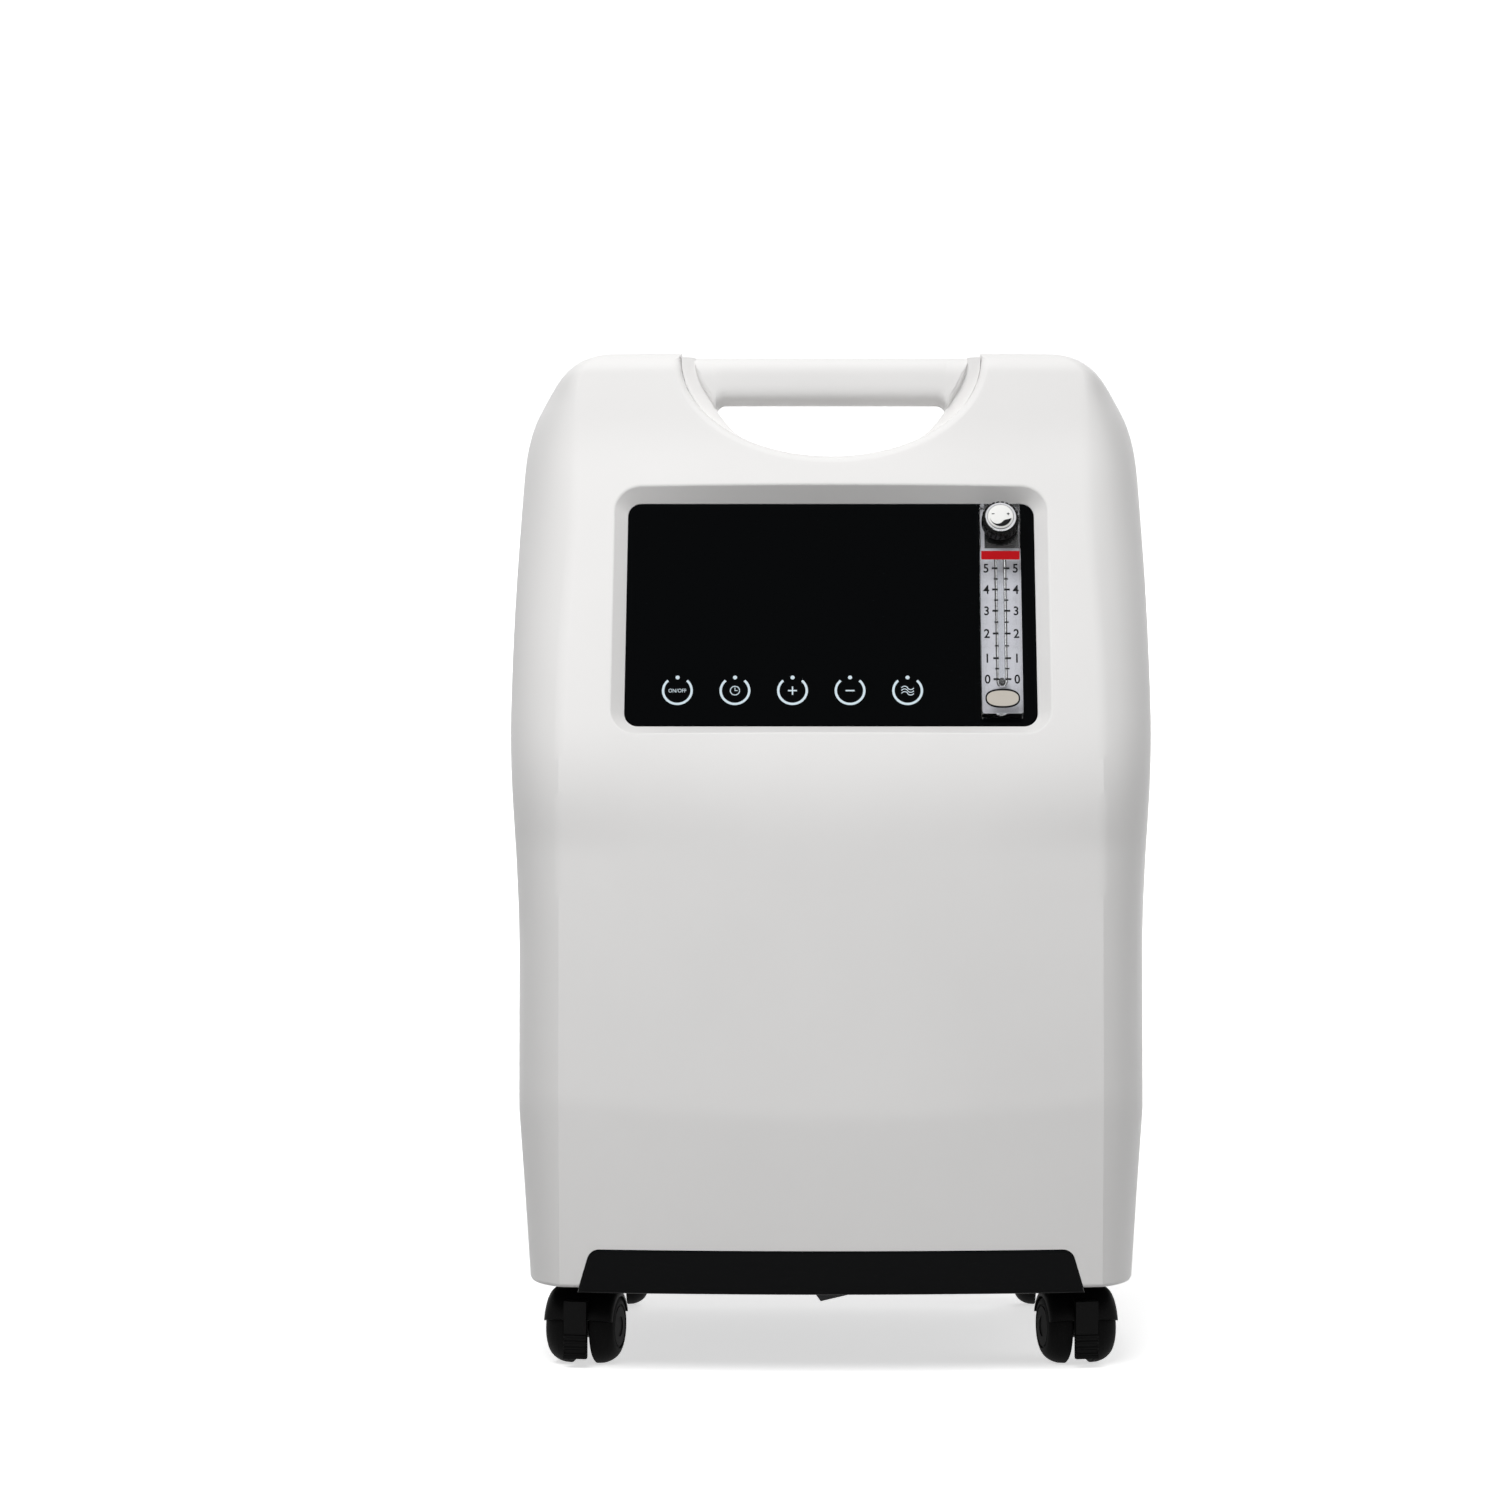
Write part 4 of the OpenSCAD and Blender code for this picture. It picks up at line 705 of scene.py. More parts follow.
def turned(name, profile, steps=48):
    """Solid of revolution about Z at the origin, from (radius, height) points: the profile
    carried round a full turn, with flat ends."""
    profile = np.asarray(profile)
    turn = np.linspace(0.0, 2 * math.pi, steps, endpoint=False)
    rings = np.stack([profile[:, :1] * np.cos(turn), profile[:, :1] * np.sin(turn),
                      np.broadcast_to(profile[:, 1:], (len(profile), steps))], 2)
    return skin_object(name, rings)


def placed(piece, matrix):
    """Bake a placing matrix into the mesh, so that the object stays at the origin."""
    piece.data.transform(matrix)
    return piece


for side in (-1, 1):
    for end in (-1, 1):
        spot = Matrix.Translation((side * caster_x, caster_y[end], 0.0))
        socket = turned("socket", [(0.0106, body_low + 0.001), (0.011, body_low + 0.0015),
                                   (0.011, 0.080), (0.0105, 0.081)])
        bore = turned("bore", [(stem_r + 0.0002, 0.03), (stem_r + 0.0002, 0.10)])
        cut(base_tray, [placed(socket, spot)], "UNION")
        cut(base_tray, [placed(bore, spot)])
cut(base_tray, [box_tool("floor_vent", (-0.030 + 0.012 * row, 0.020, 0.04),
                         (-0.025 + 0.012 * row, 0.090, 0.06)) for row in range(6)])
dressed(base_tray, "machine", black_abs, ["base_tray"])


# ---------------------------------------------------------------------------------------
# Apron: bowed trapezoid of glossy black ABS, 7 mm thick, clipped into the foot of the
# front cover, with softly rounded edges. Under its middle hangs a small slanted block.
apron_proud, apron_t, apron_round = 0.001, 0.007, 0.0016


def apron_rows():
    """Loops of the apron's outline: first scaled copies that grow from its middle to the
    full front face, then round the edge's quarter circle, then straight back."""
    middle = (apron_top + apron_low) / 2
    rows = []

    def loop(g, inwards, share=1.0):
        """Add one outline, grown by g, scaled to a share and set back from the front."""
        o = apron_outline(g)
        ahead = np.roll(o, -1, 0)
        parts = np.where(np.abs(ahead[:, 0] - o[:, 0]) > 0.1, 60, 1)
        o = np.concatenate([start + (stop - start) * np.linspace(0, 1, n, endpoint=False)[:, None]
                            for start, stop, n in zip(o, ahead, parts)])
        x, z = o[:, 0] * share, middle + (o[:, 1] - middle) * share
        rows.append(np.stack([x, front_surface(x, z) - apron_proud + inwards, z], 1))

    for share in np.linspace(0.04, 0.97, 8):
        loop(-apron_round, 0.0, share)
    for a in np.radians(np.linspace(0.0, 90.0, 7)):
        loop(-apron_round * (1.0 - math.sin(a)), apron_round * (1.0 - math.cos(a)))
    loop(0.0, apron_t)
    return rows


def given(material, *nodes):
    """Give CAD pieces that keep their shape one material."""
    for node in nodes:
        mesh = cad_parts[node].data
        mesh.materials.clear()
        mesh.materials.append(material)


# Gloss-moulded ABS: deep black with a sharp, weak reflection.
gloss_black = moulded("gloss_moulded_black_abs", "#050607", 0.12, grain_mm=6.0, grain=0.02,
                      blotch=0.0, specular=0.05)
dressed(skin_object("apron", apron_rows()), "machine", gloss_black,
        ["base_apron"])
given(black_abs, "base_block")


# ---------------------------------------------------------------------------------------
# Casters: four black nylon twin-wheel casters pressed into the tray's sockets. Each has a
# steel stem, a hood, two domed wheels on one axle and, in front, a ribbed brake pedal.
axle_z, trail, wheel_r, gap_half, wheel_side = 0.022, 0.012, 0.022, 0.0075, 0.0207
tread_half, dome_drop = 0.008, 0.009
toe_out_deg = 12.0
black_nylon = moulded("moulded_black_nylon", "#050505", 0.5, grain=0.15, specular=0.08)
wheel_tread = moulded("cast_black_polyurethane", "#050505", 0.62, grain_mm=1.5, grain=0.25,
                      specular=0.06)


def metal(name, colour, roughness, grain_mm, grain, **more):
    """Moulded finish turned to metal: as-made surface relief under a metallic shader."""
    made = moulded(name, colour, roughness, grain_mm=grain_mm, grain=grain, **more)
    made.node_tree.nodes["Principled BSDF"].inputs["Metallic"].default_value = 1.0
    return made


stem_steel = metal("zinc_plated_steel", "#b9bcc0", 0.28, 0.3, 0.05)


def wheel_edge(x):
    """Radius of the caster's barrel outline at a distance x from its middle: full at the
    tread, then a quarter ellipse, 12.7 mm wide and 9 mm high, down to the side."""
    u = np.clip((np.abs(x) - tread_half) / (wheel_side - tread_half), 0.0, 1.0)
    return wheel_r - dome_drop * (1.0 - np.sqrt(1.0 - u * u))


def caster_matrix(side, end):
    """Place of a caster: its stem on the Z axis, turned out at the front, back at the rear."""
    turn = math.radians(side * toe_out_deg if end < 0 else 180.0)
    return (Matrix.Translation((side * caster_x, caster_y[end], 0.0))
            @ Matrix.Rotation(turn, 4, "Z"))


def joined(name, pieces):
    """One object of several closed ones, in the first one's place."""
    whole = bmesh.new()
    for piece in pieces:
        whole.from_mesh(piece.data)
        bpy.data.objects.remove(piece)
    mesh = bpy.data.meshes.new(name)
    whole.to_mesh(mesh)
    whole.free()
    return linked(name, mesh)


axle_matrix = Matrix.Translation((0.0, -trail, axle_z)) @ Matrix.Rotation(math.pi / 2, 4, "Y")
axle_flipped = axle_matrix @ Matrix.Rotation(math.pi, 4, "X")
hood_from_deg, hood_to_deg, web_r = 15.0, 158.0, 0.0236


def caster_hood():
    """Hood over the wheels: outside a superellipse of power six from side to side, inside
    the barrel outline 0.9 mm clear of the wheels, swept through 143 degrees over the top;
    with a middle web down to the axle and the stem's boss."""
    turn = np.radians(np.linspace(-90.0, 90.0, 31))
    outer_x, inner_x = 0.0208 * np.sin(turn), 0.0195 * np.sin(turn)[::-1]
    outer_r = 0.0176 + 0.0066 * np.sqrt(np.clip(1.0 - np.abs(np.sin(turn)) ** 6, 0.0, 1.0))
    section_x = np.concatenate([outer_x, inner_x])
    section_r = np.concatenate([outer_r, wheel_edge(inner_x) + 0.0009])
    rows = [np.stack([section_x, -trail - section_r * math.cos(a),
                      axle_z + section_r * math.sin(a)], 1)
            for a in np.radians(np.linspace(hood_from_deg, hood_to_deg, 38))]
    hood = skin_object("hood", rows)
    turn = np.radians(np.linspace(hood_from_deg, hood_to_deg, 30))
    web = np.stack([-trail - web_r * np.cos(turn), axle_z + web_r * np.sin(turn)], 1)
    web = np.concatenate([web, [[0.0, 0.017], [-0.006, 0.014], [-trail - 0.007, 0.017],
                                [-0.030, 0.0265]]])
    blade = skin_object("web", [side_view(web, x) for x in (-0.003, 0.003)])
    boss = turned("boss", [(0.0066, 0.038), (0.0068, 0.0390), (0.0068, 0.0492),
                           (0.0063, 0.0497)])
    cut(hood, [blade, boss], "UNION")
    reach = np.linspace(gap_half - 0.0006, wheel_side + 0.0003, 14)
    room = [(float(wheel_edge(min(v, wheel_side)) + 0.0006), float(v)) for v in reach]
    clear = [placed(turned("clear", room, 64), m) for m in (axle_matrix, axle_flipped)]
    axle_bore = placed(turned("axle_bore", [(0.0031, -0.03), (0.0031, 0.03)]), axle_matrix)
    cut(hood, clear + [axle_bore])
    return hood


def wheel_pair():
    """Two wheels and their axle: a lathe profile with a hub recess, a groove round a centre
    cap, a domed side and a soft tread, mirrored over the middle."""
    turn = np.linspace(0.0, math.pi / 2, 12)
    x = gap_half + 0.004 + (wheel_side - gap_half - 0.004) * np.sin(turn)
    profile = [(0.0015, 0.0060), (0.0060, 0.0062), (0.0062, 0.0082), (0.0188, 0.0084),
               (0.0194, 0.0077), (0.0214, 0.0075), (0.0219, 0.0080)]
    profile += [(float(wheel_edge(v)), float(v)) for v in x]
    profile += [(r, wheel_side - sunk) for r, sunk in (
        (0.0132, 0.0), (0.0128, 0.0007), (0.0120, 0.0007), (0.0116, 0.0001), (0.0060, 0.0),
        (0.0056, 0.0006), (0.0010, 0.0006))]
    pair = [placed(turned("wheel", profile, 64), m) for m in (axle_matrix, axle_flipped)]
    pair.append(placed(turned("axle", [(0.0029, -0.0062), (0.0029, 0.0062)]), axle_matrix))
    return joined("wheel_pair", pair)


def brake_pedal():
    """Pedal in front of the gap: a side view with four half-round ribs on its front, a
    thumb lip at the foot and an eye on the pin, carried across with rounded ends."""
    pin_y, pin_z, eye_r = -trail - 0.017, axle_z + 0.014, 0.0036
    front = pin_y - 0.008
    rib_low, rib_high, rib_pitch = 0.0075, 0.0215, 0.0035
    z = np.linspace(0.0058, pin_z + 0.003, 60)
    wave = np.sin((z - rib_low) / rib_pitch * 2 * math.pi)
    rib = np.where((z > rib_low) & (z < rib_high), 0.0009 * np.maximum(0.0, wave) ** 0.6, 0.0)
    lean = 0.0012 * np.clip((0.012 - z) / 0.006, 0.0, 1.0) ** 2
    face = np.stack([front - rib - lean, z], 1)
    eye = np.radians(np.linspace(75.0, -90.0, 14))
    back = np.stack([pin_y + eye_r * np.cos(eye), pin_z + eye_r * np.sin(eye)], 1)
    rest = np.array([[front + 0.0036, pin_z - 0.0060], [front + 0.0034, 0.0070],
                     [front + 0.0026, 0.0058]])
    outline = np.concatenate([face, back, rest])
    middle = outline.mean(0)
    rows = []
    for a in np.radians([-90.0, -55.0, -25.0, 0.0]):
        pull = 1.0 - 0.0006 * (1.0 - math.cos(a)) / 0.008
        rows.append((-0.0064 - 0.0004 * math.sin(a) - 0.0004,
                     middle + (outline - middle) * pull))
    rows += [(-x, view) for x, view in rows[::-1]]
    return skin_object("pedal", [side_view(view, x) for x, view in rows])


for corner, side, end in (("fl", -1, -1), ("fr", 1, -1), ("rl", -1, 1), ("rr", 1, 1)):
    there = caster_matrix(side, end)
    hood = placed(caster_hood(), there)
    hood.name = f"caster_{corner}_hood"
    dressed(hood, f"caster_{corner}", black_nylon, [f"caster_{corner}_fork"])
    stem = turned(f"caster_{corner}_stem", [
        (stem_r - 0.0008, 0.0490), (stem_r, 0.0498), (stem_r, 0.0775), (stem_r - 0.0012, 0.0788)])
    dressed(placed(stem, there), f"caster_{corner}", stem_steel)
    wheels = placed(wheel_pair(), there)
    wheels.name = f"wheels_{corner}_pair"
    dressed(wheels, f"wheels_{corner}", wheel_tread, [f"caster_{corner}_wheels"])
    if end < 0:
        pedal = placed(brake_pedal(), there)
        pedal.name = f"pedal_{corner}_lever"
        dressed(pedal, f"pedal_{corner}", black_nylon,
                [f"caster_{corner}_pedal"])


# ---------------------------------------------------------------------------------------
# Handle: a moulded white ABS bar across the valley, flush with its top. Each end swells
# down and ends in a flat flange on the valley's wall. Its hidden lugs are in the solids only.
grip_y0, grip_y1, grip_top, grip_h = -0.0967, -0.0667, 0.597, 0.028
grip_power, grip_swell = 3.2, 0.006
flange_w, flange_over, flange_back, flange_bevel = 0.008, 0.0004, 0.0035, 0.0026


def flange_loop(shrink):
    """Outline of one flange in (x, z): outwards the valley's ellipse and 3 mm more, inwards
    an offset of it that is 8 mm wide at the top and fades out with a smooth step below."""
    t = np.radians(np.linspace(-2.2, 62.0, 44))
    width = ((flange_w + flange_over) * (1.0 - smooth_step((np.degrees(t) - 24.0) / 36.0))
             - flange_over - shrink)
    nx, nz = -np.cos(t) / scoop_a, np.sin(t) / scoop_b
    size = np.hypot(nx, nz)
    x, z = scoop_a * np.cos(t), scoop_z - scoop_b * np.sin(t)
    inner = np.stack([x + width * nx / size, z + width * nz / size], 1)
    outer = np.stack([x - 0.003 * nx / size, z - 0.003 * nz / size], 1)
    inner[0] = inner[1] + (inner[1] - inner[2]) * 0.9
    return np.concatenate([inner, outer[::-1]])


def superellipse(turn, power):
    """Unit superellipse: cosine and sine keep their signs and are raised to 2 / power."""
    c, s = np.cos(turn), np.sin(turn)
    return np.sign(c) * np.abs(c) ** (2.0 / power), np.sign(s) * np.abs(s) ** (2.0 / power)


def grip_bar():
    """Bar from side to side: a superellipse of power 3.2 in (y, z), whose underside drops
    along a quarter circle of 6 mm beside each flange."""
    x = np.concatenate([np.linspace(-0.094, -0.0692, 9), np.linspace(-0.0688, -0.060, 19),
                        np.linspace(-0.056, 0.056, 29), np.linspace(0.060, 0.0688, 19),
                        np.linspace(0.0692, 0.094, 9)])
    across, upward = superellipse(np.linspace(0.0, 2 * math.pi, 72, endpoint=False), grip_power)
    u = np.clip((np.abs(x) - 0.0628) / grip_swell, 0.0, 1.0)
    low = grip_top - grip_h - grip_swell * (1.0 - np.sqrt(1.0 - (u * 0.995) ** 2))
    y = (grip_y0 + grip_y1) / 2 + (grip_y1 - grip_y0) / 2 * across
    return skin_object("carry_handle_bar", [
        side_view(np.stack([y, (grip_top + pz) / 2 + (grip_top - pz) / 2 * upward], 1), px)
        for px, pz in zip(x, low)])


def flange_tool(name, profile, side):
    """Flange skinned over its outlines, one for each (y, shrink) of a profile."""
    mirror = np.array([side, 1.0])
    return skin_object(name, [front_view(flange_loop(shrink) * mirror, y)
                              for y, shrink in profile])


grip = grip_bar()
flange_y = grip_y0 + flange_back
for side in (-1, 1):
    bevel = [(-0.120, -flange_bevel), (grip_y0 - 0.001, -flange_bevel)]
    bevel += [(flange_y - flange_bevel * math.cos(a) * 1.2, -flange_bevel * (1.0 - math.sin(a)))
              for a in np.radians(np.linspace(0.0, 90.0, 6))]
    cut(grip, [flange_tool("bar_end", bevel, side)])
    plate = [(flange_y, 0.0), (flange_y + 0.0002, -0.0004),
             (grip_y1 - 0.0022, -0.0004), (grip_y1 - 0.002, 0.0)]
    cut(grip, [flange_tool("flange", plate, side)], "UNION")
valley = valley_outline(-0.0002, grip_top)
cut(grip, [front_prism("valley", valley, -0.12, -0.04)], "INTERSECT")
dressed(grip, "machine", white_abs, ["carry_handle"], sharp_deg=40.0)


# ---------------------------------------------------------------------------------------
# Plate: a bare strip of dark coated steel, 0.8 mm thick and 42 mm deep, bent to the
# valley's floor behind the handle and glued there.
plate_t, plate_glue, plate_half_deg = 0.0008, 0.0001, 39.0
plate_turn = np.radians(np.linspace(270.0 - plate_half_deg, 270.0 + plate_half_deg, 53))
plate_rows = [front_view(np.concatenate([valley_arc(soft - plate_t, plate_turn),
                                         valley_arc(plate_glue, plate_turn[::-1])]), y)
              for y, soft in ((-0.0587, 0.0003), (-0.0583, 0.0), (-0.0171, 0.0),
                              (-0.0167, 0.0003))]
dark_plate = moulded("dark_coated_steel_plate", "#1d1f21", 0.34, grain_mm=0.7, grain=0.08,
                     specular=0.4)
dressed(skin_object("scoop_floor_plate", plate_rows), "machine", dark_plate,
        ["scoop_plate"])


# ---------------------------------------------------------------------------------------
# Display panel: a 4 mm sheet of black acrylic, polished, with rounded corners and a soft
# edge, glued on the recess's ledge. Five pale rings with signs are printed on its face.
face_out = -panel_sink
panel_place = Matrix(((1.0, 0.0, 0.0, 0.0),
                      (0.0, panel_up[1], panel_out[1], panel_origin[1]),
                      (0.0, panel_up[2], panel_out[2], panel_origin[2]),
                      (0.0, 0.0, 0.0, 1.0)))
coat = 0.00006


def soft_plate(name, w, h, r, low, high, edge):
    """Plate in local (x, y, out): a rounded rectangle from low to high whose front edge is
    a quarter circle."""
    turn = np.radians(np.linspace(0.0, 90.0, 5))
    rows = [(0.0, low)] + [(edge * (1.0 - math.cos(a)), high - edge * (1.0 - math.sin(a)))
                           for a in turn]
    return skin_object(name, [top_view(soft_outline(w - 2 * g, h - 2 * g, r - g), z)
                              for g, z in rows])


def arc_print(x, y, r, stroke, from_deg, to_deg, out, thick=coat):
    """Printed arc: a small rectangle, stroke wide and one coat thick, carried round (x, y)."""
    steps = max(8, int(abs(to_deg - from_deg) / 5))
    turn = np.radians(np.linspace(from_deg, to_deg, steps))
    corner = [(-0.5, 0.0), (-0.5, 1.0), (0.5, 1.0), (0.5, 0.0)]
    return skin_object("arc", [np.array([[x + (r + s * stroke) * math.cos(a),
                                          y + (r + s * stroke) * math.sin(a), out + c * thick]
                                         for s, c in corner]) for a in turn])


def dot_print(x, y, r, out):
    """Printed dot: a low disc."""
    disc = turned("dot", [(r, out), (r, out + coat)], 24)
    return placed(disc, Matrix.Translation((x, y, 0.0)))


def bar_print(x0, y0, x1, y1, out, thick=coat):
    """Printed bar between two corners."""
    return box_tool("bar", (x0, y0, out), (x1, y1, out + thick))


def sign_print(word, tall, x, y, out, squeeze, bold=0.0):
    """Numeral or switch word in the plain built-in face, scaled to a height and centred."""
    data = bpy.data.curves.new("sign", "FONT")
    data.body = word
    data.extrude, data.offset = 0.1, bold
    data.resolution_u = 4
    sign = linked("sign", data)
    bpy.context.view_layer.update()
    mesh = applied_mesh(sign)
    bpy.data.objects.remove(sign)
    shape = bmesh.new()
    shape.from_mesh(mesh)
    bmesh.ops.remove_doubles(shape, verts=shape.verts, dist=1e-5)
    shape.to_mesh(mesh)
    shape.free()
    points = np.empty(len(mesh.vertices) * 3, np.float32)
    mesh.vertices.foreach_get("co", points)
    points = points.reshape(-1, 3)
    low, high = points.min(0), points.max(0)
    size = tall / (high[1] - low[1])
    middle = (low + high) / 2
    points = np.stack([x + (points[:, 0] - middle[0]) * size * squeeze,
                       y + (points[:, 1] - middle[1]) * size,
                       out + np.where(points[:, 2] > 0.0, coat, 0.0)], 1)
    mesh.vertices.foreach_set("co", points.astype(np.float32).ravel())
    return linked("sign", mesh)


def screen_print(name, colour, roughness=0.5, blotch=0.05):
    """Screen or pad print: a thin matt coat of ink with a fine grain."""
    return moulded(name, colour, roughness, grain_mm=0.4, grain=0.02, blotch=blotch,
                   specular=0.2)


# Polished black acrylic: deep black, a sharp but weak mirror image.
black_acrylic = moulded("polished_black_acrylic", "#030405", 0.06, grain_mm=9.0, grain=0.01,
                        blotch=0.0, specular=0.025)
sheet = soft_plate("display_sheet", panel_w, panel_h, panel_r, face_out - panel_t, face_out,
                   0.0008)
slot_half_w, slot_half_h = meter_w / 2 + 0.0002, meter_h / 2 + 0.0002
cut(sheet, [box_tool("meter_slot", (meter_x - slot_half_w, meter_y - slot_half_h, -0.03),
                     (meter_x + slot_half_w, meter_y + slot_half_h, 0.0))])
dressed(placed(sheet, panel_place), "machine", black_acrylic,
        ["display_panel"])

# Touch positions: an open ring with a dot in its gap, round the switch word, a clock, a
# plus, a minus and three waves. The bars are (x0, y0, x1, y1) from the ring's middle.
key_x, key_pitch, key_y, key_r, key_stroke = -0.0894, 0.0335, -0.0483, 0.0083, 0.0014
key_dot_up, key_dot_r = 0.0082, 0.0012
clock_r, thin_stroke = 0.0027, 0.0005
wave_x, wave_pitch, wave_shift, wave_r = 0.001764, 0.0017, 0.00105, 0.0021
minus = (-0.0026, -0.0004, 0.0026, 0.0004)
key_bars = {
    1: [(-0.0002, -0.0002, 0.0002, 0.0019), (0.0002, -0.0002, 0.0015, 0.0002)],
    2: [minus, (-0.0004, 0.0004, 0.0004, 0.0026), (-0.0004, -0.0026, 0.0004, -0.0004)],
    3: [minus]}
prints = []
for key in range(5):
    x = key_x + key_pitch * key
    prints += [arc_print(x, key_y, key_r, key_stroke, 131.0, 409.0, face_out),
               dot_print(x, key_y + key_dot_up, key_dot_r, face_out)]
    if key == 0:
        prints.append(sign_print("ON/OFF", 0.0023, x, key_y, face_out, 0.88))
    if key == 1:
        prints.append(arc_print(x, key_y, clock_r, thin_stroke, 0.0, 355.0, face_out))
    prints += [bar_print(x + x0, key_y + y0, x + x1, key_y + y1, face_out)
               for x0, y0, x1, y1 in key_bars.get(key, [])]
    if key == 4:
        prints += [arc_print(x + bow * wave_x, key_y + wave_pitch * row + bow * wave_shift,
                             wave_r, thin_stroke, turn0, turn0 + 120.0, face_out)
                   for row in (-1, 0, 1) for bow, turn0 in ((-1, 30.0), (1, 210.0))]
pale_print = screen_print("pale_blue_screen_print", "#d6e6ee", blotch=0.06)
dressed(placed(joined("touch_rings", prints), panel_place), "machine", pale_print)


# ---------------------------------------------------------------------------------------
# Flowmeter: a clear cast acrylic block with a bore, in front of a silver back. The scale
# in litres a minute, a red limit band and a bare oval plate are on the block's face.
meter_front, meter_split, meter_back = -0.003, -0.0148, -0.025
meter_top = meter_y + meter_h / 2
meter_left, meter_right = meter_x - meter_w / 2, meter_x + meter_w / 2
meter_middle = Matrix.Translation((meter_x, meter_y, 0.0))
scale_down = (0.1116, 0.0985, 0.0830, 0.0687, 0.0552, 0.0417)
tube_out, tube_r = -0.010, 0.0035
z_to_y = Matrix.Rotation(-math.pi / 2, 4, "X")
block = soft_plate("flowmeter_clear_block", meter_w, meter_h, 0.0016, meter_split,
                   meter_front, 0.0007)
tube = turned("tube", [(0.0006, -0.0034), (0.0022, -0.0030), (0.0031, -0.0018),
                       (tube_r, -0.0004), (tube_r + 0.0003, 0.078), (0.0022, 0.0795),
                       (0.0008, 0.0800)])
placed(tube, Matrix.Translation((meter_x, meter_top - scale_down[0], tube_out)) @ z_to_y)
cut(placed(block, meter_middle), [tube])
clear_acrylic, acrylic_tree, acrylic_shader = new_material("polished_clear_acrylic", {
    "Base Color": hex_linear("#f7f9fb"), "Roughness": 0.03, "IOR": 1.49,
    "Transmission Weight": 1.0})
haze = add_node(acrylic_tree, "ShaderNodeTexNoise", {"Scale": 160.0, "Detail": 2.0},
                {"Vector": add_node(acrylic_tree, "ShaderNodeTexCoord").outputs["Object"]})
haze_level = add_node(acrylic_tree, "ShaderNodeMapRange", {"To Min": 0.02, "To Max": 0.06},
                      {"Value": haze.outputs["Fac"]})
acrylic_tree.links.new(haze_level.outputs[0], acrylic_shader.inputs["Roughness"])
dressed(placed(block, panel_place), "machine", clear_acrylic,
        ["flowmeter_block"])
block.visible_shadow = False

# Silver-lacquered back plate: a fine sparkle, slightly lilac.
silver_lacquer = moulded("silver_lacquered_back", "#b9b8bd", 0.42, grain_mm=0.4, grain=0.06,
                         blotch=0.05, specular=0.4)
back_plate = soft_plate("flowmeter_back", meter_w - 0.0004, meter_h - 0.0004, 0.0015,
                        meter_back, meter_split - 0.0003, 0.0003)
placed(back_plate, meter_middle)
dressed(placed(back_plate, panel_place), "machine", silver_lacquer)

# Scale: numerals and ticks on both sides of the tube, at distances below the meter's top.
label = meter_front + 0.00001
numeral_h, numeral_x, numeral_narrow, numeral_bold = 0.0057, 0.0086, 0.9, 0.018
tick_x, long_tick, short_tick = 0.0018, (0.0052, 0.0006), (0.0042, 0.00045)
oval_down, oval_power = 0.1235, 2.4
band_down, dark_down = (0.0361, 0.0306), (0.0255, 0.0008)


def tick(side, level, reach, half):
    """Printed tick beside the tube, on one side, out to a reach and twice half high."""
    near, far = sorted((side * tick_x, side * reach))
    return bar_print(near + meter_x, level - half, far + meter_x, level + half, label)


def oval_plate(name, half_x, half_y, low, high):
    """Oval: a superellipse of power 2.4, carried outwards."""
    x, y = superellipse(np.linspace(0.0, 2 * math.pi, 48, endpoint=False), oval_power)
    oval = np.stack([meter_x + half_x * x, meter_top - oval_down + half_y * y], 1)
    return skin_object(name, [top_view(oval, z) for z in (low, high)])


marks = []
for number, down in enumerate(scale_down):
    y = meter_top - down
    between = meter_top - (down + scale_down[min(number + 1, 5)]) / 2
    for side in (-1, 1):
        marks.append(sign_print(str(number), numeral_h, meter_x + side * numeral_x, y, label,
                                numeral_narrow, numeral_bold))
        marks.append(tick(side, y, *long_tick))
        if number < 5:
            marks.append(tick(side, between, *short_tick))
marks.append(oval_plate("oval_edge", 0.0101, 0.0060, label, label + 0.00005))
black_print = screen_print("black_screen_print", "#0c0c0e", 0.55)
red_print = screen_print("red_screen_print", "#b00e16")
warm_silver = moulded("brushed_warm_silver_plate", "#c4beb4", 0.35, grain_mm=0.5, grain=0.05)
scale = joined("meter_scale", marks)
# The back is printed black behind the knob, but for a strip at its left.
dark_back = bar_print(meter_left + 0.0030, meter_top - dark_down[0], meter_right - 0.0006,
                      meter_top - dark_down[1], meter_split - 0.00028)
oval_face = oval_plate("oval_face", 0.0092, 0.0048, label, label + 0.0001)
red_band = bar_print(meter_left + 0.0006, meter_top - band_down[0], meter_right - 0.0006,
                     meter_top - band_down[1], label)
for name, piece, finish, slot in (
        ("meter_scale", scale, black_print, "black_gloss"),
        ("meter_dark_back", dark_back, black_print, "black_gloss"),
        ("oval_face", oval_face, warm_silver, "bright_steel"),
        ("meter_red_band", red_band, red_print, "red_plastic")):
    piece.name = name
    dressed(placed(piece, panel_place), "machine", finish)
ball_glass = moulded("black_glass_ball", "#08080a", 0.08, grain_mm=2.0, grain=0.0, blotch=0.0)
given(ball_glass, "float_ball")


# ---------------------------------------------------------------------------------------
# Flow knob: a black fluted nylon skirt pressed on the valve's steel stem, with a white cap
# in a bright rim that carries a minus, a plus and a wedge.
knob_y = panel_h / 2 - 0.0163
knob_out, knob_h, knob_r, flutes = meter_front + 0.0005, 0.008, 0.011, 24
flute_deep, shoulder_r = 0.0008, 0.0012


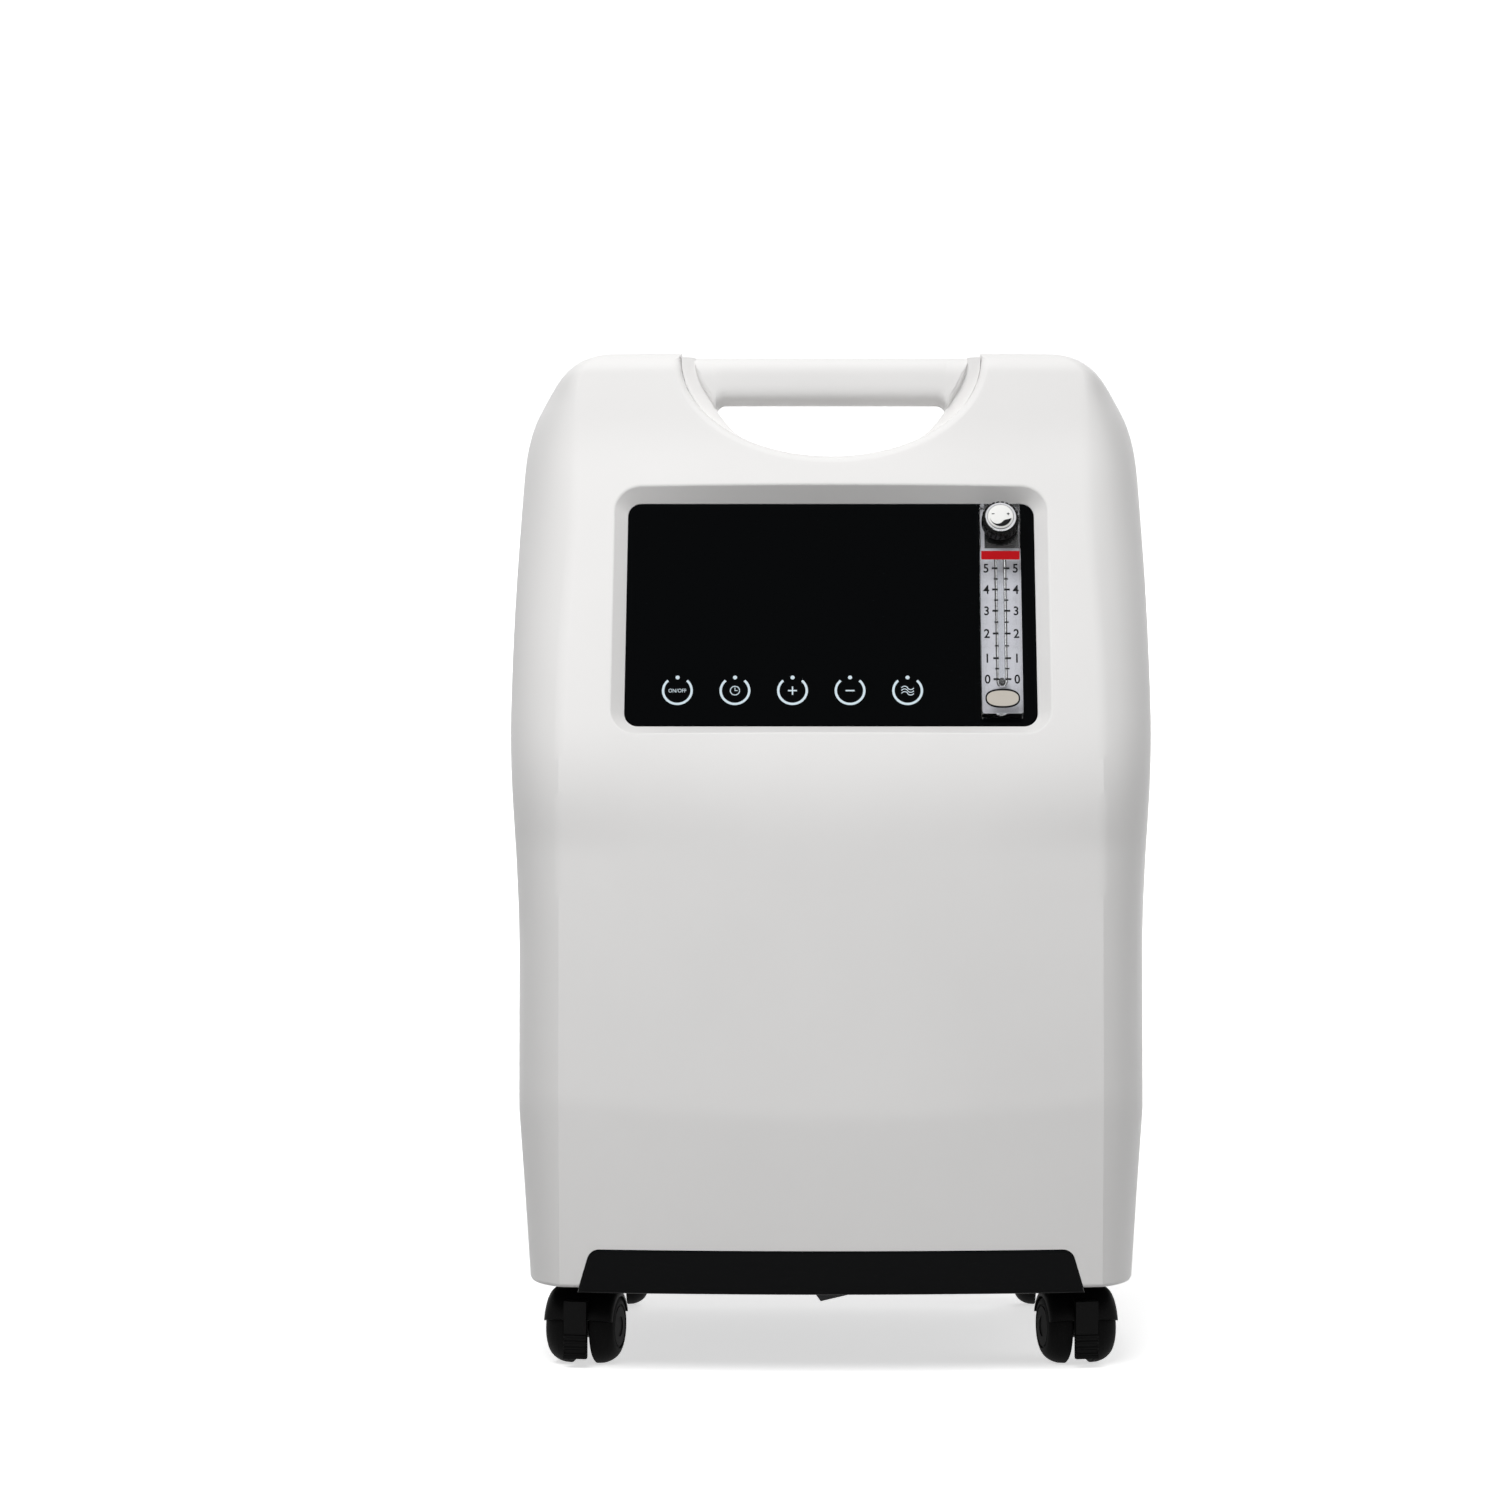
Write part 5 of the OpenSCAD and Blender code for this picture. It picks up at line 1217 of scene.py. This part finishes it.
def fluted_skirt():
    """Skirt: radius over turn and height, with 24 half-round flutes that run out at the
    foot and a rounded shoulder."""
    turn = np.linspace(0.0, 2 * math.pi, flutes * 10, endpoint=False)
    shoulder = np.radians(np.linspace(0.0, 88.0, 6))
    high = np.concatenate([[0.0, 0.0004, 0.0018, 0.0024, 0.0040, 0.0056],
                           knob_h - shoulder_r * (1.0 - np.sin(shoulder))])
    reach = np.concatenate([[knob_r - 0.0004], np.full(5, knob_r),
                            knob_r - shoulder_r * (1.0 - np.cos(shoulder))])
    depths = flute_deep * np.array([0.0, 0.0, 0.0, 0.6, 1.0, 1.0] + [1.0] * 6)
    wave = np.maximum(0.0, np.cos(turn * flutes)) ** 1.5
    rows = []
    for z, r, depth in zip(high, reach, depths):
        radius = r - depth * wave
        rows.append(np.stack([meter_x + radius * np.cos(turn), knob_y + radius * np.sin(turn),
                              np.full(len(turn), knob_out + z)], 1))
    return skin_object("flow_knob_skirt", rows)


skirt = fluted_skirt()
stem_room = turned("stem_room", [(0.0026, -0.001), (0.0026, 0.0073)], 32)
cut(skirt, [placed(stem_room, Matrix.Translation((meter_x, knob_y, knob_out)))])
knob_black = moulded("satin_black_knob_nylon", "#040404", 0.35, grain_mm=0.3, grain=0.08,
                     specular=0.12)
dressed(placed(skirt, panel_place), "knob", knob_black, ["flow_knob"])
cap_place = panel_place @ Matrix.Translation((meter_x, knob_y, knob_out + knob_h + 0.00005))
rim = turned("knob_cap_rim", [(0.0089, 0.0), (0.00915, 0.0003), (0.00915, 0.0012),
                              (0.0088, 0.0018), (0.0083, 0.0020), (0.0078, 0.0018),
                              (0.0077, 0.0010), (0.0076, 0.0008)], 72)
chrome = metal("chromed_abs", "#d9dadd", 0.1, 3.0, 0.0, blotch=0.02)
dressed(placed(rim, cap_place), "knob", chrome, ["knob_cap"])
dome = [(0.0076, 0.0010), (0.0076, 0.0016), (0.0074, 0.0019)] + [
    (0.0074 * math.cos(a), 0.0019 + 0.0007 * math.sin(a))
    for a in np.radians(np.linspace(5.0, 88.0, 12))]
cap_white = moulded("gloss_white_cap", "#f1f1ef", 0.15, grain_mm=2.0, grain=0.0, blotch=0.01)
dressed(placed(turned("knob_cap_face", dome, 72), cap_place), "knob", cap_white)

# Print: a minus, a plus, and a crescent that widens from the one towards the other.
wedge_r, wedge_wide = 0.0064, 0.0030
wedge = np.radians(np.linspace(192.0, 348.0, 40))
inner = wedge_r - wedge_wide * np.sin(np.pi * np.linspace(0.0, 1.0, 40) ** 2.2)
crescent = np.concatenate([np.stack([r * np.cos(t), r * np.sin(t)], 1)
                           for r, t in ((wedge_r, wedge), (inner[::-1], wedge[::-1]))])
signs = [skin_object("crescent", [top_view(crescent, z) for z in (0.0018, 0.0027)])] + [
    bar_print(*bar, 0.0024, 0.0003) for bar in (
        (-0.0052, 0.0012, -0.0036, 0.0016), (0.0036, 0.0012, 0.0052, 0.0016),
        (0.0042, 0.0006, 0.0046, 0.0022))]
dressed(placed(joined("knob_cap_signs", signs), cap_place), "knob", black_print)


# ---------------------------------------------------------------------------------------
# Rear fittings: black moulded fan grille, mains inlet, switch and breaker, a white filter
# door, all clipped or screwed into the rear cover, and two barbed gas outlets with nuts.
def softened(node, name, width, body, material, slot):
    """Dressed copy of a CAD piece: its loose triangles merged into flat faces, and its
    sharp edges rounded by a bevel of two steps."""
    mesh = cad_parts[node].data.copy()
    mesh.materials.clear()
    shape = bmesh.new()
    shape.from_mesh(mesh)
    bmesh.ops.remove_doubles(shape, verts=shape.verts, dist=1e-6)
    bmesh.ops.dissolve_limit(shape, angle_limit=math.radians(1.0), verts=shape.verts,
                             edges=shape.edges)
    shape.to_mesh(mesh)
    shape.free()
    piece = linked(name, mesh)
    edge = piece.modifiers.new("edge", "BEVEL")
    edge.width = width
    edge.segments = 2
    edge.limit_method = "ANGLE"
    edge.angle_limit = math.radians(40.0)
    return dressed(piece, body, material, [node])


fan_black = moulded("textured_black_polypropylene", "#111213", 0.5, grain_mm=0.6, grain=0.3,
                    specular=0.3)
rocker_black = moulded("gloss_black_switch_cap", "#0a0a0b", 0.2, grain_mm=1.0, grain=0.03,
                       specular=0.4)
for fitting in (
        ("exhaust_grille", "fan_grille", 0.0005, "machine", fan_black, "black_abs"),
        ("power_inlet", "mains_inlet", 0.0004, "machine", fan_black, "black_abs"),
        ("switch_frame", "switch_bezel", 0.0004, "machine", fan_black, "black_abs"),
        ("breaker_body", "breaker_collar", 0.0003, "machine", fan_black, "black_abs"),
        ("rocker_switch", "rocker_cap", 0.0004, "rocker", rocker_black, "black_abs")):
    softened(*fitting)

# The rocker's two faces lean 8 degrees; one carries a bar and the other a ring.
rocker_lean, rocker_face_y, rocker_sign_up = math.radians(8.0), 0.1832 - 0.0006, 0.0062
white_print = screen_print("white_pad_print", "#e9e9e6")
face_back = Matrix(((-1, 0, 0, 0), (0, 0, 1, 0), (0, 1, 0, 0), (0, 0, 0, 1)))
rocker_signs = ((1, "rocker_bar", bar_print(-0.0003, -0.0022, 0.0003, 0.0022, 0.0)),
                (-1, "rocker_ring", arc_print(0.0, 0.0, 0.0019, 0.0006, 0.0, 354.0, 0.0)))
for up, name, mark in rocker_signs:
    tilt = Matrix.Rotation(up * rocker_lean, 4, "X")
    spot = Matrix.Translation((inlet_x, rocker_face_y, switch_z + up * rocker_sign_up))
    mark.name = name
    dressed(placed(mark, spot @ tilt @ face_back), "rocker", white_print)
reset_red = moulded("moulded_red_nylon", "#b3202a", 0.35, grain=0.1, specular=0.4)
softened("reset_button", "breaker_button", 0.0008, "reset", reset_red, "red_plastic")
softened("filter_door", "filter_cover", 0.0007, "intake_door", white_abs, "white_abs")


def gas_outlet(name, side):
    """Lathe profile of an outlet: wall thread, flange, stem with three barbs that rise
    steeply and fall slowly towards the tip, and a bore; with a hexagon nut behind."""
    stem, barb = 0.0025, 0.00325
    profile = [(0.0054, -0.0090), (0.0057, -0.0086), (0.0057, 0.0001), (0.0078, 0.0001),
               (0.0080, 0.0004), (0.0080, 0.0026), (0.0077, 0.0030), (0.0036, 0.0031),
               (0.0030, 0.0037), (stem, 0.0056)]
    for i in range(3):
        low = 0.0060 + 0.0032 * i
        profile += [(stem, low), (barb - 0.0001, low + 0.0001), (barb, low + 0.0004),
                    (stem, low + 0.0031)]
    profile += [(stem, 0.01585), (stem - 0.0003, 0.0160), (0.0017, 0.0160),
                (0.0015, 0.0158), (0.0015, 0.0040)]
    nut = turned("nut", [(0.0078, -0.0080), (0.0085, -0.0076), (0.0085, -0.0035),
                         (0.0078, -0.0031)], 6)
    place = Matrix.Translation((side * outlet_x, back_y - cup_deep, outlet_z)) @ z_to_y
    return placed(joined(name, [turned(name, profile), nut]), place)


outlet_green = moulded("moulded_green_nylon", "#6f9f43", 0.38, grain=0.08, specular=0.4)
outlet_grey = moulded("moulded_grey_nylon", "#c9ccce", 0.38, grain=0.08, specular=0.4)
dressed(gas_outlet("oxygen_barb", 1), "machine", outlet_green,
        ["oxygen_outlet"])
dressed(gas_outlet("nebuliser_barb", -1), "machine", outlet_grey,
        ["nebuliser_outlet"])
cross_half, cross_thin = 0.0018, 0.00035
screws = []
for side in (-1, 1):
    screw = turned("screw", [(0.0016, -0.0065), (0.00172, -0.0060), (0.00172, -0.0017),
                             (0.0034, -0.00165), (0.0034, -0.0006), (0.0030, -0.0001),
                             (0.0020, 0.0)], 32)
    cut(screw, [box_tool("cross", (-a, -b, -0.0011), (a, b, 0.002))
                for a, b in ((cross_half, cross_thin), (cross_thin, cross_half))])
    screws.append(placed(screw, Matrix.Translation((side * screw_x, back_y, screw_z)) @ z_to_y))
screw_steel = metal("blackened_steel_screws", "#4a4c50", 0.35, 0.3, 0.05)
dressed(joined("back_screws", screws), "machine", screw_steel,
        ["cover_screws"])


# ---------------------------------------------------------------------------------------
# Humidifier: a blow-moulded clear jar with two level lines stands in the niche, under a
# ribbed screw lid with a dip tube and a swivel nut, both moulded.
jar_y = 0.137
bend = np.radians(np.linspace(0.0, 90.0, 8))[1:]
jar_profile = [(0.0380, 0.0)]
jar_profile += [(0.0380 + 0.0040 * math.sin(a), 0.0040 * (1 - math.cos(a))) for a in bend]
jar_profile += [(0.0420, 0.0985)]
jar_profile += [(0.0390 + 0.0030 * math.cos(a), 0.0985 + 0.0030 * math.sin(a)) for a in bend]
jar_profile += [(0.0386, 0.1020), (0.0386, 0.1110), (0.0381, 0.1118), (0.0371, 0.1118),
                (0.0366, 0.1110), (0.0366, 0.1010)]
jar_profile += [(0.0366 + 0.0030 * math.sin(a), 0.0980 - 0.0030 * (1 - math.cos(a)))
                for a in bend]
jar_profile += [(0.0396, 0.0060)]
jar_profile += [(0.0360 + 0.0036 * math.cos(a), 0.0060 - 0.0036 * math.sin(a)) for a in bend]
jar = placed(turned("humidifier_clear_jar", jar_profile, 96),
             Matrix.Translation((0.0, jar_y, niche_floor)))
jar_clear, jar_tree, jar_shader = new_material("blow_moulded_clear_polycarbonate", {
    "Base Color": hex_linear("#dfeaf0"), "Roughness": 0.08, "IOR": 1.58,
    "Transmission Weight": 0.92})
wave = add_node(jar_tree, "ShaderNodeTexNoise", {"Scale": 45.0, "Detail": 1.0},
                {"Vector": add_node(jar_tree, "ShaderNodeTexCoord").outputs["Object"]})
ripple = add_node(jar_tree, "ShaderNodeBump", {"Strength": 0.15, "Distance": 0.001},
                  {"Height": wave.outputs["Fac"]})
jar_tree.links.new(ripple.outputs[0], jar_shader.inputs["Normal"])
dressed(jar, "humidifier", jar_clear, ["humidifier_jar"])
jar.visible_shadow = False
levels = [arc_print(0.0, jar_y, 0.04207, 0.0001, 62.0, 118.0, niche_floor + z, 0.0010)
          for z in (0.032, 0.074)]
blue_print = screen_print("blue_level_print", "#2f6fa8")
dressed(joined("jar_level_lines", levels), "humidifier", blue_print)
lid_white = moulded("moulded_white_polypropylene", "#e9ecee", 0.42, grain=0.1, specular=0.4)
softened("humidifier_lid", "humidifier_screw_lid", 0.0005, "humidifier", lid_white,
         "white_abs")
softened("humidifier_nut", "humidifier_swivel_nut", 0.0005, "swivel_nut", outlet_green,
         "green_plastic")


# ---------------------------------------------------------------------------------------
# Inside: pieces whose CAD shape stays. Folded zinc-plated steel chassis, cast compressor on
# rubber mounts, sieve beds, valve block, tank, fan, coil, boards and silicone tubes.
given(metal("folded_zinc_plated_steel", "#b4b8bb", 0.34, 6.0, 0.05), "chassis")
given(metal("drawn_aluminium", "#c9ccce", 0.26, 0.8, 0.04), "sieve_beds", "power_supply")
given(metal("machined_aluminium", "#b4b8bb", 0.3, 0.5, 0.06), "valve_manifold")
given(metal("sand_cast_aluminium", "#8f9397", 0.55, 1.2, 0.4), "compressor_case",
      "compressor_heads", "sieve_caps")
given(metal("painted_steel_tank", "#c5c8ca", 0.4, 1.0, 0.08), "product_tank")
given(metal("turned_brass", "#c8a24a", 0.25, 0.4, 0.05), "regulator", "meter_fittings")
given(metal("drawn_copper", "#c98f5e", 0.3, 0.6, 0.05), "heat_exchanger")
given(stem_steel, "valve_stem")
given(moulded("etched_green_circuit_board", "#1f5a38", 0.4, grain_mm=1.5, grain=0.2,
              blotch=0.12), "control_board", "touch_board")
given(moulded("grey_capacitor_can", "#8d9093", 0.4), "run_capacitor")
given(moulded("yellow_fan_nylon", "#d8b21c", 0.42), "compressor_fan")
given(moulded("moulded_mount_rubber", "#1c1d1f", 0.75, grain_mm=0.8, grain=0.4,
              specular=0.2), "rubber_mounts")
given(fan_black, "fan_frame", "fan_rotor", "intake_silencer", "exhaust_silencer", "solenoids")
given(moulded("cream_filter_plastic", "#e4e2d8", 0.42, grain=0.08), "bacteria_filter")
given(moulded("translucent_silicone_tube", "#d5d8da", 0.4, grain_mm=2.0, grain=0.05),
      "gas_tubes")
given(moulded("open_cell_filter_foam", "#2c2e30", 0.95, grain_mm=1.4, grain=1.0, blotch=0.3,
              specular=0.05), "filter_foam")
